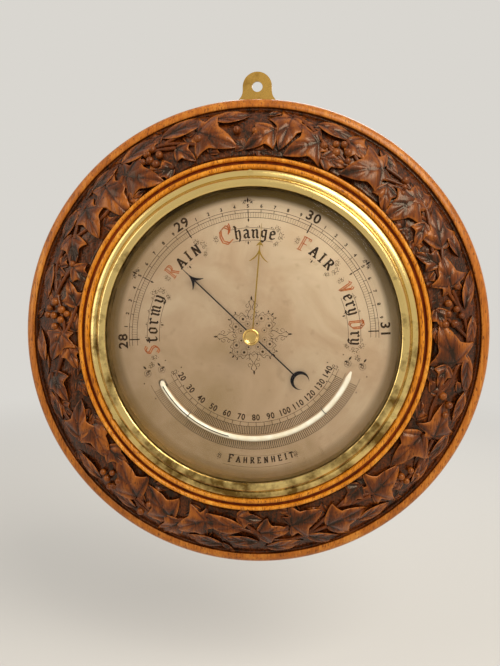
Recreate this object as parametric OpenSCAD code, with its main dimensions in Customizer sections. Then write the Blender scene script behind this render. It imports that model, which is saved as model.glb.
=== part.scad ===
// Wall aneroid barometer: a turned and carved oak surround holds a brass case with the movement,
// a silvered dial with two hands and a curved thermometer, under a bevelled glass.
// Millimetres, +Z up. The dial faces -Y and the wall is the plane Y = 0.
// The origin is the centre of the hanging hole, on the wall plane.

/* [Oak surround] */
// Diameter over the turned rim
oak_d = 304; // [290:1:330]
// Height of the rim's widest line above the wall
rim_line = 13; // [8:0.5:16]
// Width of the turned rim
rim_w = 5.5; // [3:0.5:8]
// Rise of the rim's round above its widest line
rim_rise = 4.5; // [3:0.5:6]
// How far the back edge is drawn in from the rim
back_draw = 3; // [0:0.5:6]
// How far the carved frieze starts below the rim's top
frieze_dip = 1; // [0:0.25:3]
// How far the carved frieze ends below the front
frieze_drop = 3.6; // [2:0.2:6]
// Fullness of the frieze's curve, 1 is a straight slope
frieze_bow = 2.2; // [1:0.1:3]
// Width of the outer bead
outer_bead_w = 2.6; // [1.5:0.1:4]
// Width of the hollow between the two beads
bead_gap_w = 2; // [1:0.1:3]
// Width of the inner bead
inner_bead_w = 3.3; // [2:0.1:5]
// Depth of the seat of the brass flange below the inner bead
seat_drop = 2.8; // [2:0.1:4]
// Radial room between the brass flange and the inner bead
bezel_room = 0.4; // [0.2:0.1:1]
// Radial room between the brass case and the bore of the oak
case_room = 0.5; // [0.3:0.1:2]

/* [Carving] */
// Depth of the carver's ground below the leaves
ground_drop = 2.7; // [1.5:0.1:4]
// Radius of a leaf's rounded top for each millimetre of its length
leaf_dome = 1.4; // [1.1:0.1:3]
// Diameter of the berries
berry_d = 4.6; // [3:0.2:6]
// How far a berry's middle lies below the leaves
berry_sink = 0.7; // [0:0.1:1.5]
// Depth of the flat eye pricked on top of a berry
berry_eye = 0.15; // [0.1:0.05:0.5]

/* [Hanging plate] */
// Height of the hanging hole above the top of the oak
hole_above = 11.6; // [10.5:0.1:16]
// Diameter of the hanging hole
hole_d = 7; // [5:0.1:9]
// Width of the plate's round head
hanger_w = 19.4; // [16:0.2:24]
// Thickness of the plate
hanger_t = 1.8; // [1.2:0.1:2.5]
// Width of the plate's foot
hanger_foot_w = 44; // [36:1:60]
// Radius of the flare between the head and the foot
hanger_flare_r = 8; // [6:0.5:10]
// Height of the plate's foot
hanger_foot_h = 20; // [18:1:30]
// Distance from the oak's back edge down to the foot
hanger_foot_in = 4; // [3:0.5:10]
// Width of the three hanger screws
hanger_screw_d = 3.4; // [2.6:0.2:4]
// Length of the three hanger screws
hanger_screw_l = 11; // [7:0.5:12]
// Room around the plate in its pocket
pocket_room = 0.2; // [0.1:0.05:0.6]

/* [Brass case] */
// How far the case's wall lies inside the bezel's edge
flange_w = 4.9; // [4.4:0.1:6]
// Wall thickness of the case
case_t = 0.8; // [0.6:0.1:1.2]
// Thickness of the case's floor
floor_t = 1; // [0.8:0.1:1.5]
// How far the floor lies inside the oak's back
floor_inset = 2; // [1.5:0.25:4]
// Thickness of the flange of the case
flange_t = 0.8; // [0.6:0.1:1.2]
// Diameter of the hole in the floor for the adjusting screw
access_d = 8; // [7.4:0.2:10]

/* [Bezel and glass] */
// Outer diameter of the bezel
bezel_d = 205.6; // [204:0.2:210]
// Thickness of the bezel at its edge
bezel_edge_t = 0.9; // [0.6:0.1:1.5]
// Width of the outer band of the bezel
band_w = 4; // [3.8:0.1:5]
// Rise of the outer band above its edge
band_rise = 1.9; // [1:0.1:3]
// Width of the groove between band and ring
groove_w = 1.2; // [0.8:0.1:2]
// Width of the raised ring
ring_w = 5.8; // [5:0.1:7]
// Height of the raised ring above the case's flange
ring_h = 7.2; // [6.8:0.1:8]
// Width of the lip that holds the glass
lip_w = 1.4; // [1:0.1:2]
// Turn of the bezel and its screws in the oak, anticlockwise
bezel_turn = 1.2; // [0:0.1:5]
// Diameter of the three bezel screws
bezel_screw_d = 2.2; // [1.6:0.1:2.6]
// Length of the three bezel screws
bezel_screw_l = 12; // [8:0.5:16]
// Thickness of the glass
glass_t = 3; // [2.5:0.1:4]
// Width of the bevel of the glass
bevel_w = 6.2; // [4:0.1:8]
// Depth of the bevel of the glass
bevel_h = 1.4; // [0.8:0.1:1.8]
// Wall thickness of the sight ring behind the glass
sight_t = 0.8; // [0.5:0.1:1.2]

/* [Dial] */
// Room between the dial's edge and the wall of the case
dial_room = 2.1; // [1:0.1:3]
// Thickness of the dial
dial_t = 1.2; // [0.8:0.1:1.6]
// Depth of the dial's face below the bezel's seat
dial_sink = 5.8; // [5.2:0.1:7]
// Turn of the dial in the case, anticlockwise
dial_turn = 2.7; // [0:0.1:5]
// Diameter of the hole in the dial for the arbor
dial_hole_d = 5.2; // [4:0.1:6]
// Distance of the dial's feet from its edge
foot_in = 11; // [8:0.5:15]
// Diameter of the dial's feet
foot_d = 5; // [4:0.1:6]

/* [Hands] */
// Reach of the blued hand from the arbor to its tip
hand_l = 62; // [55:0.5:66]
// Reach of the blued hand to the ends of its barbs
hand_barb_at = 47.4; // [42:0.2:49]
// Half the spread of the blued hand's barbs
hand_barb_w = 5; // [3:0.1:7]
// Width of the blued hand's needle
hand_w = 0.8; // [0.6:0.05:1.4]
// Distance of the crescent's centre behind the arbor
crescent_at = 41; // [36:0.5:46]
// Outer diameter of the crescent
crescent_d = 11.8; // [9:0.2:14]
// Thickness of the crescent at its back
crescent_t = 2.5; // [1.6:0.1:3]
// Where the blued hand points at rest, clockwise from the dial's top
hand_rest = -44.4; // [-60:0.1:60]
// Height of the blued hand above the dial
hand_rise = 2.8; // [2.4:0.1:3.2]
// Thickness of both hands
hand_t = 0.45; // [0.3:0.05:0.6]
// Reach of the brass set hand from the spindle to its tip
set_l = 70; // [60:0.5:74]
// Reach of the set hand to the ends of its barbs
set_barb_at = 46.5; // [42:0.5:50]
// Half the spread of the set hand's barbs
set_barb_w = 6; // [4:0.1:8]
// Where the set hand points at rest, clockwise from the dial's top
set_rest = 7; // [-60:0.1:60]
// Height of the set hand above the dial
set_rise = 6; // [5.8:0.1:6.4]
// Diameter of the brass knob
knob_d = 10.4; // [8:0.1:14]
// Height of the knob above the glass
knob_h = 9.4; // [7:0.1:12]
// Diameter of the set hand's spindle
spindle_d = 2.9; // [2.4:0.1:3.4]

/* [Thermometer] */
// Radius of the tube's arc on the dial
thermo_r = 65.8; // [62:0.2:68]
// Diameter of the glass tube
tube_d = 3.5; // [3:0.1:4]
// Bore of the glass tube
tube_bore = 0.9; // [0.6:0.1:1.2]
// Half the sweep of the tube, measured from the dial's lowest point
tube_sweep = 64.4; // [58:0.2:70]
// Where the mercury ends, measured the same way
mercury_end = -15.5; // [-50:0.5:50]
// Radius of the tube's bend through the dial
bend_r = 4; // [3.8:0.1:5]
// Diameter of the bulb behind the dial
bulb_d = 6; // [5:0.2:7]
// Length of the straight stem above the bulb
stem_l = 4; // [3:0.5:5]
// Length of the tube's drawn-out end
tip_l = 4; // [3:0.5:6]
// Where the two wire ties hold the tube
tie_at = 41; // [30:1:55]
// Thickness of the wire ties
tie_wire = 0.5; // [0.4:0.05:0.8]

/* [Movement] */
// Diameter of the base plate
base_d = 116; // [110:1:118]
// Thickness of the base plate
base_t = 2.5; // [2:0.1:3]
// Height of the base plate's centre above the dial's centre
base_up = 10; // [8:0.5:12]
// Height of the capsule's centre above the dial's centre
capsule_up = 14; // [13:0.5:16]
// Diameter of the vacuum capsule
capsule_d = 58; // [50:0.5:59]
// Thickness of the vacuum capsule
capsule_t = 7; // [6:0.1:9]
// Room under the capsule
capsule_gap = 0.7; // [0.5:0.1:1.5]
// Number of rings pressed into the capsule
capsule_rings = 4; // [2:1:6]
// Diameter of the capsule's post
post_d = 4.8; // [4:0.1:6]
// Room between capsule and bridge
bridge_gap = 1.3; // [1:0.1:3]
// Thickness of the bridge's bar
bridge_t = 4; // [3:0.1:6]
// Depth of the bridge's bar
bridge_w = 8; // [6:0.5:9]
// Distance from the capsule's centre to the bridge
bridge_back = 24; // [22:0.5:26]
// Distance of the bridge's legs from the middle
leg_at = 34; // [33:0.5:37]
// Width of a leg of the bridge
leg_w = 7; // [6:0.5:8]
// Thickness of the mainspring
spring_t = 1; // [0.8:0.1:1.4]
// Width of the mainspring
spring_w = 26; // [24:0.5:30]
// Inner radius of the mainspring's bend
spring_bend = 1.25; // [1:0.05:2]
// Thickness of the main lever
lever_t = 1.5; // [1:0.1:2]
// Width of the main lever
lever_w = 3; // [2:0.1:4]
// Sideways place of the main lever
lever_x = 9.8; // [9.2:0.1:11]
// Room above the main lever for its travel
lever_room = 1.7; // [1.5:0.1:3]
// Place of the rocking shaft below the dial's centre
rock_down = 38; // [36:0.5:41]
// Height of the rocking shaft above the base plate
rock_h = 6.5; // [6:0.1:8]
// Length of the rocking shaft's upper arm
upper_arm = 10; // [9:0.1:10.4]
// Length of the rocking shaft's lower arm
lower_arm = 5; // [4:0.1:6]
// Diameter of the rocking shaft
rock_d = 2.4; // [2:0.1:3]
// Diameter of the chain roller on the arbor
roller_d = 3.6; // [3:0.1:4]
// Diameter of the arbor that carries the blued hand
arbor_d = 1.6; // [1.2:0.1:2]
// Distance of the cock pillars from the arbor
pillar_at = 36; // [35:0.5:38]
// Diameter of the cock pillars
pillar_d = 5; // [4:0.1:5.6]
// Thickness of the two cocks
cock_t = 1.2; // [1:0.1:1.6]
// Room between the upper cock and the dial
cock_room = 0.6; // [0.4:0.1:2]
// Height of the lower cock above the base plate
cock_low = 10.5; // [10:0.1:11]
// Turns of the hairspring
hair_turns = 5; // [3:0.5:7]
// Distance from turn to turn of the hairspring
hair_pitch = 1.1; // [0.9:0.05:1.2]
// Diameter of the adjusting screw
adjust_d = 3.2; // [2.6:0.1:3.6]

/* [Hidden] */
$fn = 96;

// Room round a shaft that turns, a screw or pin in its hole, bodies that pass by, and a press fit
run = 0.05;
fit = 0.05;
pass = 0.3;
press = 0.01;

// Radii of the rings, from the outside in
oak_r = oak_d / 2;
rim_in_r = oak_r - rim_w;
bezel_r = bezel_d / 2;
inner_bead_r0 = bezel_r + bezel_room;
inner_bead_r1 = inner_bead_r0 + inner_bead_w;
outer_bead_r0 = inner_bead_r1 + bead_gap_w;
outer_bead_r1 = outer_bead_r0 + outer_bead_w;
case_r = bezel_r - flange_w;
bore_r = case_r + case_room;
dial_r = case_r - case_t - dial_room;
foot_place = dial_r - foot_in;
flange_r = bezel_r - pass;
band_in_r = bezel_r - band_w;
ring_out_r = band_in_r - groove_w;
sight_r = ring_out_r - ring_w;
glass_r = sight_r + lip_w - 2 * fit;
recess_r = sight_r + lip_w;
bevel_r = glass_r - bevel_w;
sight_in_r = sight_r - 0.2;
bezel_screw_r = (band_in_r + bezel_r) / 2;
bezel_head_d = band_w - 0.5;

// Heights above the wall, from the floor of the case up through the movement to the glass
z_in = floor_inset + floor_t;
z_base = z_in + base_t;
z_caps0 = z_base + capsule_gap;
z_caps1 = z_caps0 + capsule_t;
boss_h = 1;
z_post = z_caps1 + boss_h;
z_bar = z_caps1 + bridge_gap;
z_leaf0 = z_bar + bridge_t;
z_leaf1 = z_leaf0 + spring_t + 2 * spring_bend;
z_lever = z_leaf1 + spring_t;
z_cock = z_lever + lever_t + lever_room;
z_dial_back = z_cock + cock_t + cock_room;
z_dial = z_dial_back + dial_t;
z_seat_b = z_dial + dial_sink;
z_seat = z_seat_b - flange_t;
z_glass0 = z_dial + 8.8;
z_glass1 = z_glass0 + glass_t;
oak_h = z_seat + seat_drop;
z_hand = z_dial + hand_rise;
z_set = z_dial + set_rise;

// Height of the bevel where the lip crosses it
bevel_at_sight = z_glass1 - bevel_h * (sight_r - bevel_r) / bevel_w;
z_lip = bevel_at_sight + 0.1;

// Drop from the hanging hole to the dial's centre
drop = oak_r + hole_above;

// Lever train, seen from above: the spring's bend, the post, the arbor and the rocking shaft
capsule_y = capsule_up;
bar_y0 = capsule_y + bridge_back - bridge_w / 2;
bar_y1 = bar_y0 + bridge_w;
bend_y = bar_y1 + 4;
z_bend = z_leaf0 + spring_t + spring_bend;
rock_y = -rock_down;
z_rock = z_base + rock_h;
chain_ratio = (roller_d / 2) / upper_arm;
rock_rest = hand_rest * chain_ratio;
tip_y = rock_y - lower_arm * cos(rock_rest);
z_tip = z_rock - lower_arm * sin(rock_rest);
chain_y = rock_y - upper_arm * sin(rock_rest);
z_chain = z_rock + upper_arm * cos(rock_rest);
rock_x0 = -12;
rock_x1 = 17;
pivot_d = rock_d / 2 - 0.1;
upright_t = 1.6;
link_d = 1;
link_pin_d = 1;
eye_d = 4;
eye_hole_d = link_pin_d + 1.2;
z_low_cock = z_base + cock_low;
z_hair = z_low_cock + cock_t + 0.8;
hair_h = 1.1;
hair_t = 0.25;
hair_r0 = arbor_d / 2 + 0.9;
hair_r1 = hair_r0 + hair_turns * hair_pitch;
roller_h = 2;

// Fasteners and small sizes that follow them
screw_head_t = 1.2;
small_screw_d = 2;
small_head_d = 4;
slot_w = 0.6;
slot_deep = 0.5;
base_screw_at = base_d / 2 - 8;
bar_half = 4;
adjust_x = leg_at;
adjust_y = (bar_y0 + bar_y1) / 2;
collet_d = 4;
hub_d = 3.4;
set_w = 0.84;
tip_w = 0.24;
collet_h = 2;

// Points of a quarter or longer arc, and of a curve drawn to its middle point
function arc(c, r, a0, a1, n) =
    [for (i = [0:n]) let (a = a0 + (a1 - a0) * i / n) c + [r[0] * cos(a), r[1] * sin(a)]];
function bow(a, b, c, n) =
    [for (i = [0:n]) let (t = i / n) (1 - t) * (1 - t) * a + 2 * t * (1 - t) * b + t * t * c];
function backwards(p) = [for (i = [len(p) - 1:-1:0]) p[i]];
function flip(p) = [for (q = backwards(p)) [-q[0], q[1]]];

// Height of the frieze at a share of the way from its inner to its outer edge
frieze_in_h = oak_h - frieze_drop;
frieze_out_h = rim_line + rim_rise - frieze_dip;
function frieze_h(t) = frieze_in_h - (frieze_in_h - frieze_out_h) * pow(t, frieze_bow);

// Dial space: x to the right, y up, z from the wall towards the viewer
module on_dial(turn = 0) {
    translate([0, 0, -drop]) rotate([90, 0, 0]) rotate([0, 0, turn]) children();
}

// Copies three things evenly around the axis, the first one straight up
module three(r) {
    for (a = [90, 210, 330]) rotate([0, 0, a]) translate([r, 0, 0]) rotate([0, 0, -a]) children();
}

// A slotted screw whose head lies on z = 0 and whose shank goes down
module screw(d, l, head_d, head_t) {
    difference() {
        cylinder(d = head_d, h = head_t, $fn = 32);
        translate([-head_d, -slot_w / 2, head_t - slot_deep]) cube([2 * head_d, slot_w, head_t]);
    }
    translate([0, 0, -l]) cylinder(d = d, h = l + 0.01, $fn = 24);
}

// A slotted screw with a flush conical head
module flush_screw(d, l, head_d, head_t) {
    difference() {
        translate([0, 0, -head_t]) cylinder(d1 = d, d2 = head_d, h = head_t, $fn = 32);
        translate([-head_d, -slot_w / 2, -slot_deep]) cube([2 * head_d, slot_w, head_t]);
    }
    translate([0, 0, -l]) cylinder(d = d, h = l - head_t + 0.01, $fn = 24);
}

module flush_hole(d, l, head_d, head_t) {
    translate([0, 0, -head_t - fit])
        cylinder(d1 = d + 2 * fit, d2 = head_d + 2 * fit, h = head_t + fit + 0.01, $fn = 32);
    translate([0, 0, -l - fit]) cylinder(d = d + 2 * fit, h = l + fit, $fn = 24);
}

// Outline of the hanging plate in dial space
foot_top = oak_r - back_draw - hanger_foot_in;
foot_low = foot_top - hanger_foot_h;
foot_cut = 8;
flare_top = drop - 2.6;
flare_turn = 50;
module hanger_outline(grow) {
    head = hanger_w / 2 + grow;
    foot = hanger_foot_w / 2 + grow;
    low = foot_low - grow;
    shoulder = foot_top - foot_cut + grow;
    bend = hanger_flare_r - grow;
    polygon(concat(
        [[-foot, low], [foot, low], [foot, shoulder]],
        arc([head + bend, flare_top], [bend, bend], 180 + flare_turn, 180, 8),
        arc([0, drop], [head, head], 0, 180, 32),
        arc([-head - bend, flare_top], [bend, bend], 0, -flare_turn, 8),
        [[-foot, shoulder]]
    ));
}

hanger_head_d = 2 * hanger_screw_d;
hanger_head_t = min(hanger_t - 0.2, 1.6);
module hanger_screw_places() {
    side = hanger_foot_w / 2 - 6;
    for (p = [[-side, foot_low + 6], [side, foot_low + 6], [0, foot_top - 4]])
        translate([p[0], p[1], 0]) mirror([0, 0, 1]) children();
}

// Ivy carved on the frieze. Half outlines run from the stalk to the tip on a leaf 1 long
ivy = 0;
trefoil = 1;
blade = 2;
leaf_halves = [
    [[0, 0.05], [0.15, -0.05], [0.33, -0.08], [0.25, 0.13], [0.58, 0.3], [0.4, 0.35], [0.25, 0.46],
        [0.16, 0.75], [0, 1]],
    [[0, 0], [0.19, 0.03], [0.35, 0.18], [0.47, 0.36], [0.33, 0.4], [0.21, 0.47], [0.15, 0.75], [0, 1]],
    [[0, 0], [0.11, 0.17], [0.16, 0.36], [0.13, 0.7], [0, 1]]
];
leaf_middle = 0.42;

// Angle clockwise from the top, way over the frieze in hundredths of its width, direction of the
// tip, length, kind and rise above the frieze
leaf_places = [
    [348, 45, 112, 30, ivy, 0.9], [339, 31, 122, 16, trefoil, 0.5], [324, 31, 98, 28, ivy, 0.9],
    [314, 34, 140, 30, ivy, 0.4], [305, 45, 150, 24, ivy, 0.8], [295, 48, 172, 22, trefoil, 0.4],
    [289, 14, 130, 17, trefoil, 0.7], [267, 42, 205, 22, ivy, 0.8], [263, 17, 160, 17, trefoil, 0.4],
    [255, 56, 150, 22, trefoil, 0.8], [243, 42, 5, 26, trefoil, 0.9], [236, 25, 152, 28, trefoil, 0.5],
    [220, 36, 338, 31, trefoil, 0.9], [208, 39, 330, 29, trefoil, 0.6], [197, 48, 250, 25, ivy, 0.6],
    [188, 34, 285, 34, blade, 1], [2, 36, 236, 23, trefoil, 1], [9, 56, 200, 26, ivy, 0.5],
    [15, 31, 250, 26, ivy, 1], [21, 79, 112, 28, blade, 0.5], [29, 65, 130, 22, trefoil, 0.3],
    [34, 39, 262, 30, ivy, 1], [43, 22, 190, 18, trefoil, 0.7], [49, 34, 240, 28, ivy, 0.9],
    [50, 70, 335, 20, trefoil, 0.4], [58, 31, 205, 16, trefoil, 0.7], [60, 62, 350, 27, trefoil, 0.6],
    [66, 22, 295, 17, trefoil, 0.8], [72, 45, 340, 24, ivy, 0.8], [78, 76, 10, 26, blade, 0.5],
    [93, 34, 335, 30, ivy, 0.9], [101, 28, 205, 15, trefoil, 1], [99, 73, 178, 27, blade, 0.7],
    [115, 53, 18, 25, ivy, 0.9], [125, 28, 225, 29, trefoil, 0.7], [138, 39, 42, 27, ivy, 0.9],
    [153, 56, 62, 29, trefoil, 0.7], [164, 31, 62, 25, ivy, 0.9], [174, 45, 82, 22, trefoil, 0.6],
    [161, 79, 100, 26, blade, 0.5], [120, 79, 214, 24, blade, 0.4], [203, 76, 242, 22, trefoil, 0.4],
    [285, 76, 192, 24, blade, 0.6], [182, 65, 275, 24, blade, 0.8], [147, 22, 215, 18, trefoil, 0.4],
    [37, 79, 150, 22, blade, 0.3], [129, 76, 30, 22, blade, 0.4], [340, 79, 68, 34, blade, 0.8],
    [327, 79, 56, 32, blade, 0.7], [353, 79, 84, 26, blade, 0.6], [88, 76, 186, 22, blade, 0.4],
    [108, 79, 200, 22, blade, 0.4], [65, 79, 334, 22, blade, 0.3], [300, 79, 28, 24, blade, 0.4],
    [315, 79, 47, 25, blade, 0.5], [249, 76, 338, 22, blade, 0.4], [230, 79, 318, 24, blade, 0.4],
    [217, 76, 312, 22, blade, 0.3], [228, 17, 130, 19, trefoil, 0.3], [172, 79, 80, 26, blade, 0.4],
    [192, 79, 285, 26, blade, 0.4], [282, 19, 340, 18, trefoil, 0.4], [24, 22, 108, 17, trefoil, 0.4],
    [84, 17, 150, 15, trefoil, 0.3], [146, 76, 60, 24, blade, 0.4], [266, 79, 350, 24, blade, 0.4],
    [331, 17, 250, 16, trefoil, 0.3], [181, 17, 98, 17, trefoil, 0.4]
];
berry_places = [
    [329, 62], [331, 65], [332, 48], [329, 48], [330, 36], [327, 53], [277, 62], [279, 51],
    [277, 36], [275, 51], [274, 36], [276, 25], [275, 65], [272, 48], [227, 62], [225, 65],
    [225, 48], [223, 76], [222, 68], [222, 51], [20, 42], [23, 53], [25, 59], [24, 39],
    [27, 48], [28, 34], [44, 70], [45, 59], [46, 48], [80, 34], [82, 48], [83, 31],
    [84, 56], [86, 25], [86, 42], [107, 39], [109, 56], [112, 56], [133, 53], [130, 59],
    [133, 68], [130, 76], [355, 51], [0, 48], [344, 48], [61, 48], [76, 56], [212, 76],
    [291, 36], [211, 51]
];

// Share of the way over the frieze, its slope there, and the carver's ground
frieze_w = rim_in_r - outer_bead_r1;
function frieze_share(r) = min(1, max(0, (r - outer_bead_r1) / frieze_w));
function frieze_r(hundredths) = outer_bead_r1 + frieze_w * hundredths / 100;
function frieze_slope(t) = -(frieze_in_h - frieze_out_h) * frieze_bow * pow(t, frieze_bow - 1) / frieze_w;
function ground_h(t) = frieze_h(t) - 0.5 - (ground_drop - 0.5) * min(1, t / 0.06, (1 - t) / 0.05);
function clock(r, a) = [r * sin(a), r * cos(a)];
function in_frieze(p) =
    let (r = norm(p)) p * (min(max(r, outer_bead_r1 + 0.6), rim_in_r - 0.4) / r);
function leaf_outline(at, tip, size, half) =
    [for (q = concat(half, flip([for (i = [1:len(half) - 2]) half[i]])))
        in_frieze(at + size * (q[0] * clock(1, tip + 90) + (q[1] - leaf_middle) * clock(1, tip)))];

// A leaf stands on the ground with upright edges and a ball's round on top
module leaf(angle, r, tip, size, kind, rise) {
    at = clock(r, angle);
    t = frieze_share(r);
    lean = atan(-frieze_slope(t));
    out = concat(clock(sin(lean), angle), [cos(lean)]);
    foot = ground_h(frieze_share(r + 0.6 * size)) - 1;
    intersection() {
        translate([0, 0, foot]) linear_extrude(oak_h + 3 - foot)
            polygon(leaf_outline(at, tip, size, leaf_halves[kind]));
        translate([at[0], at[1], frieze_h(t) + rise] - leaf_dome * size * out)
            rotate([90, 0, 0]) sphere(leaf_dome * size);
    }
}

module carving() {
    for (p = leaf_places) leaf(p[0], frieze_r(p[1]), p[2], p[3], p[4], p[5]);
    for (p = berry_places) {
        at = clock(frieze_r(p[1]), p[0]);
        translate([at[0], at[1], frieze_h(p[1] / 100) - berry_sink]) intersection() {
            sphere(d = berry_d, $fn = 48);
            translate([-berry_d, -berry_d, -berry_d])
                cube([2 * berry_d, 2 * berry_d, 1.5 * berry_d - berry_eye]);
        }
    }
}

module turned_oak() {
    rotate_extrude($fn = 180) polygon(concat(
        [[bore_r, 0], [oak_r - back_draw, 0]],
        arc([rim_in_r, rim_line], [rim_w, rim_rise], 0, 90, 8),
        [for (t = [1, 0.95, 0.85, 0.75, 0.65, 0.55, 0.4, 0.25, 0.06, 0])
            [outer_bead_r1 + frieze_w * t, ground_h(t)]],
        arc([(outer_bead_r0 + outer_bead_r1) / 2, oak_h - 2.4], [outer_bead_w / 2, 1.4], 0, 180, 8),
        arc([(inner_bead_r0 + inner_bead_r1) / 2, oak_h - 2], [inner_bead_w / 2, 2], 0, 180, 8),
        [[inner_bead_r0, z_seat], [bore_r, z_seat]]
    ));
}

module oak_surround() {
    color("saddlebrown") on_dial() difference() {
        union() {
            turned_oak();
            carving();
        }
        translate([0, 0, -1]) linear_extrude(1 + hanger_t + pocket_room) hanger_outline(pocket_room);
        hanger_screw_places() flush_hole(hanger_screw_d, hanger_screw_l, hanger_head_d, hanger_head_t);
        rotate([0, 0, bezel_turn]) three(bezel_screw_r)
            translate([0, 0, z_seat_b + bezel_edge_t + band_rise - bezel_screw_l - 1])
            cylinder(d = bezel_screw_d + 2 * fit, h = bezel_screw_l, $fn = 24);
    }
}

module hanger_plate() {
    color("goldenrod") on_dial() difference() {
        linear_extrude(hanger_t) hanger_outline(0);
        translate([0, drop, -1]) cylinder(d = hole_d, h = hanger_t + 2, $fn = 64);
        hanger_screw_places() flush_hole(hanger_screw_d, hanger_screw_l, hanger_head_d, hanger_head_t);
    }
}

module hanger_screws() {
    color("darkgoldenrod") on_dial() hanger_screw_places()
        flush_screw(hanger_screw_d, hanger_screw_l - 0.5, hanger_head_d, hanger_head_t);
}

module case() {
    color("goldenrod") on_dial() difference() {
        rotate_extrude($fn = 180) polygon([
            [0, floor_inset], [case_r, floor_inset], [case_r, z_seat], [flange_r, z_seat],
            [flange_r, z_seat_b], [case_r - case_t, z_seat_b], [case_r - case_t, z_in], [0, z_in]
        ]);
        translate([adjust_x, adjust_y, floor_inset - 1]) cylinder(d = access_d, h = floor_t + 2, $fn = 48);
        rotate([0, 0, dial_turn]) three(foot_place) translate([0, 0, floor_inset - 1])
            cylinder(d = small_screw_d + 2 * fit, h = floor_t + 2, $fn = 24);
        translate([0, base_up, 0]) three(base_screw_at) translate([0, 0, floor_inset - 1])
            cylinder(d = small_screw_d + 2 * fit, h = floor_t + 2, $fn = 24);
        rotate([0, 0, bezel_turn]) three(bezel_screw_r) translate([0, 0, z_seat - 1])
            cylinder(d = bezel_screw_d + 2 * fit, h = flange_t + 2, $fn = 24);
    }
}

// Height of the bezel's outer band at its middle, where the screws seat
band_top = z_seat_b + bezel_edge_t + band_rise;
ring_top = z_seat_b + ring_h;
crest_r = ring_out_r - ring_w * 0.45;
module bezel() {
    color("gold") on_dial(bezel_turn) difference() {
        rotate_extrude($fn = 180) polygon(concat(
            [[recess_r, z_seat_b], [bezel_r, z_seat_b], [bezel_r, z_seat_b + bezel_edge_t]],
            arc([band_in_r, z_seat_b + bezel_edge_t], [band_w, band_rise], 10, 90, 8),
            arc([(band_in_r + ring_out_r) / 2, band_top], [groove_w / 2, 0.8], 0, -180, 6),
            arc([crest_r, band_top + 0.3], [ring_out_r - crest_r, ring_top - band_top - 0.3], 0, 90, 8),
            arc([crest_r, ring_top - 1], [crest_r - sight_r, 1], 90, 180, 6),
            [[sight_r, z_lip], [recess_r, z_lip]]
        ));
        three(bezel_screw_r) {
            translate([0, 0, z_seat_b - 1]) cylinder(d = bezel_screw_d + 2 * fit, h = 8, $fn = 24);
            translate([0, 0, band_top - 1.2]) cylinder(d = bezel_head_d + 2 * fit, h = 8, $fn = 32);
        }
    }
}

module bezel_screws() {
    color("darkgoldenrod") on_dial(bezel_turn) three(bezel_screw_r) translate([0, 0, band_top - 1.2])
        screw(bezel_screw_d, bezel_screw_l - 1, bezel_head_d, screw_head_t);
}

module glass() {
    color("lightcyan", 0.3) on_dial() difference() {
        rotate_extrude($fn = 180) polygon([
            [0, z_glass0], [glass_r, z_glass0], [glass_r, z_glass1 - bevel_h], [bevel_r, z_glass1],
            [0, z_glass1]
        ]);
        translate([0, 0, z_glass0 - 1]) cylinder(d = spindle_d + 2 * run, h = glass_t + 2, $fn = 48);
    }
}

module sight_ring() {
    color("khaki") on_dial() rotate_extrude($fn = 180) polygon([
        [sight_in_r, z_dial], [sight_in_r + sight_t, z_dial], [sight_in_r + sight_t, z_glass0 - 1],
        [recess_r - fit, z_glass0 - 1], [recess_r - fit, z_glass0], [sight_in_r, z_glass0]
    ]);
}

// Thermometer: positions are measured from the dial's lowest point, positive towards the right
z_tube = z_dial + tube_d / 2 + fit;
bend_share = atan(bend_r / thermo_r);
arc_left = -tube_sweep + bend_share;
module along_thermo(a) {
    rotate([0, 0, a - 90]) translate([thermo_r, 0, 0]) children();
}

// One pass of the tube's path with radius r: arc, bend through the dial, stem and bulb.
// Bend and stem start inside the piece before them, each drawn a little thinner.
z_bulb = z_tube - bend_r - stem_l - bulb_d * 0.4;
bulb_wall = 0.6;
drawn = 0.05;
lap = 0.3;
module thermo_path(r, bulb_r, to) {
    translate([0, 0, z_tube]) rotate([0, 0, arc_left - 90])
        rotate_extrude(angle = to - arc_left, $fn = 180) translate([thermo_r, 0]) circle(r = r, $fn = 24);
    along_thermo(arc_left) rotate([0, 0, -90]) {
        translate([-lap, 0, z_tube]) rotate([0, 90, 0]) cylinder(r = r - drawn, h = lap, $fn = 24);
        translate([0, 0, z_tube - bend_r]) rotate([90, 0, 0])
            rotate_extrude(angle = 90, $fn = 96) translate([bend_r, 0]) circle(r = r - drawn, $fn = 24);
        translate([bend_r, 0, z_bulb])
            cylinder(r = r - 2 * drawn, h = z_tube - bend_r + lap - z_bulb, $fn = 24);
        translate([bend_r, 0, z_bulb]) sphere(r = bulb_r, $fn = 32);
    }
}

module thermometer_tube() {
    color("white") on_dial(dial_turn) difference() {
        union() {
            thermo_path(tube_d / 2, bulb_d / 2, tube_sweep);
            along_thermo(tube_sweep) translate([0, 0, z_tube]) rotate([-90, 0, 0])
                translate([0, 0, -0.3])
                cylinder(r1 = tube_d / 2 - 0.03, r2 = tube_d / 6, h = tip_l + 0.3, $fn = 24);
        }
        thermo_path(tube_bore / 2, bulb_d / 2 - bulb_wall, tube_sweep - 1);
    }
}

module thermometer_mercury() {
    color("silver") on_dial(dial_turn)
        thermo_path(tube_bore / 2 - fit, bulb_d / 2 - bulb_wall - fit, mercury_end);
}

tie_r = tube_d / 2 + tie_wire / 2 + fit;
tie_low = z_dial_back - 1.2;
module tie_places() {
    for (a = [-tie_at, tie_at]) along_thermo(a) children();
}

module thermometer_ties() {
    color("black") on_dial(dial_turn) tie_places() {
        translate([0, 0, z_tube]) rotate([90, 0, 0])
            rotate_extrude(angle = 180, $fn = 48) translate([tie_r, 0]) circle(d = tie_wire, $fn = 16);
        for (s = [-1, 1]) translate([s * tie_r, 0, tie_low])
            cylinder(d = tie_wire, h = z_tube - tie_low, $fn = 16);
    }
}

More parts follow.
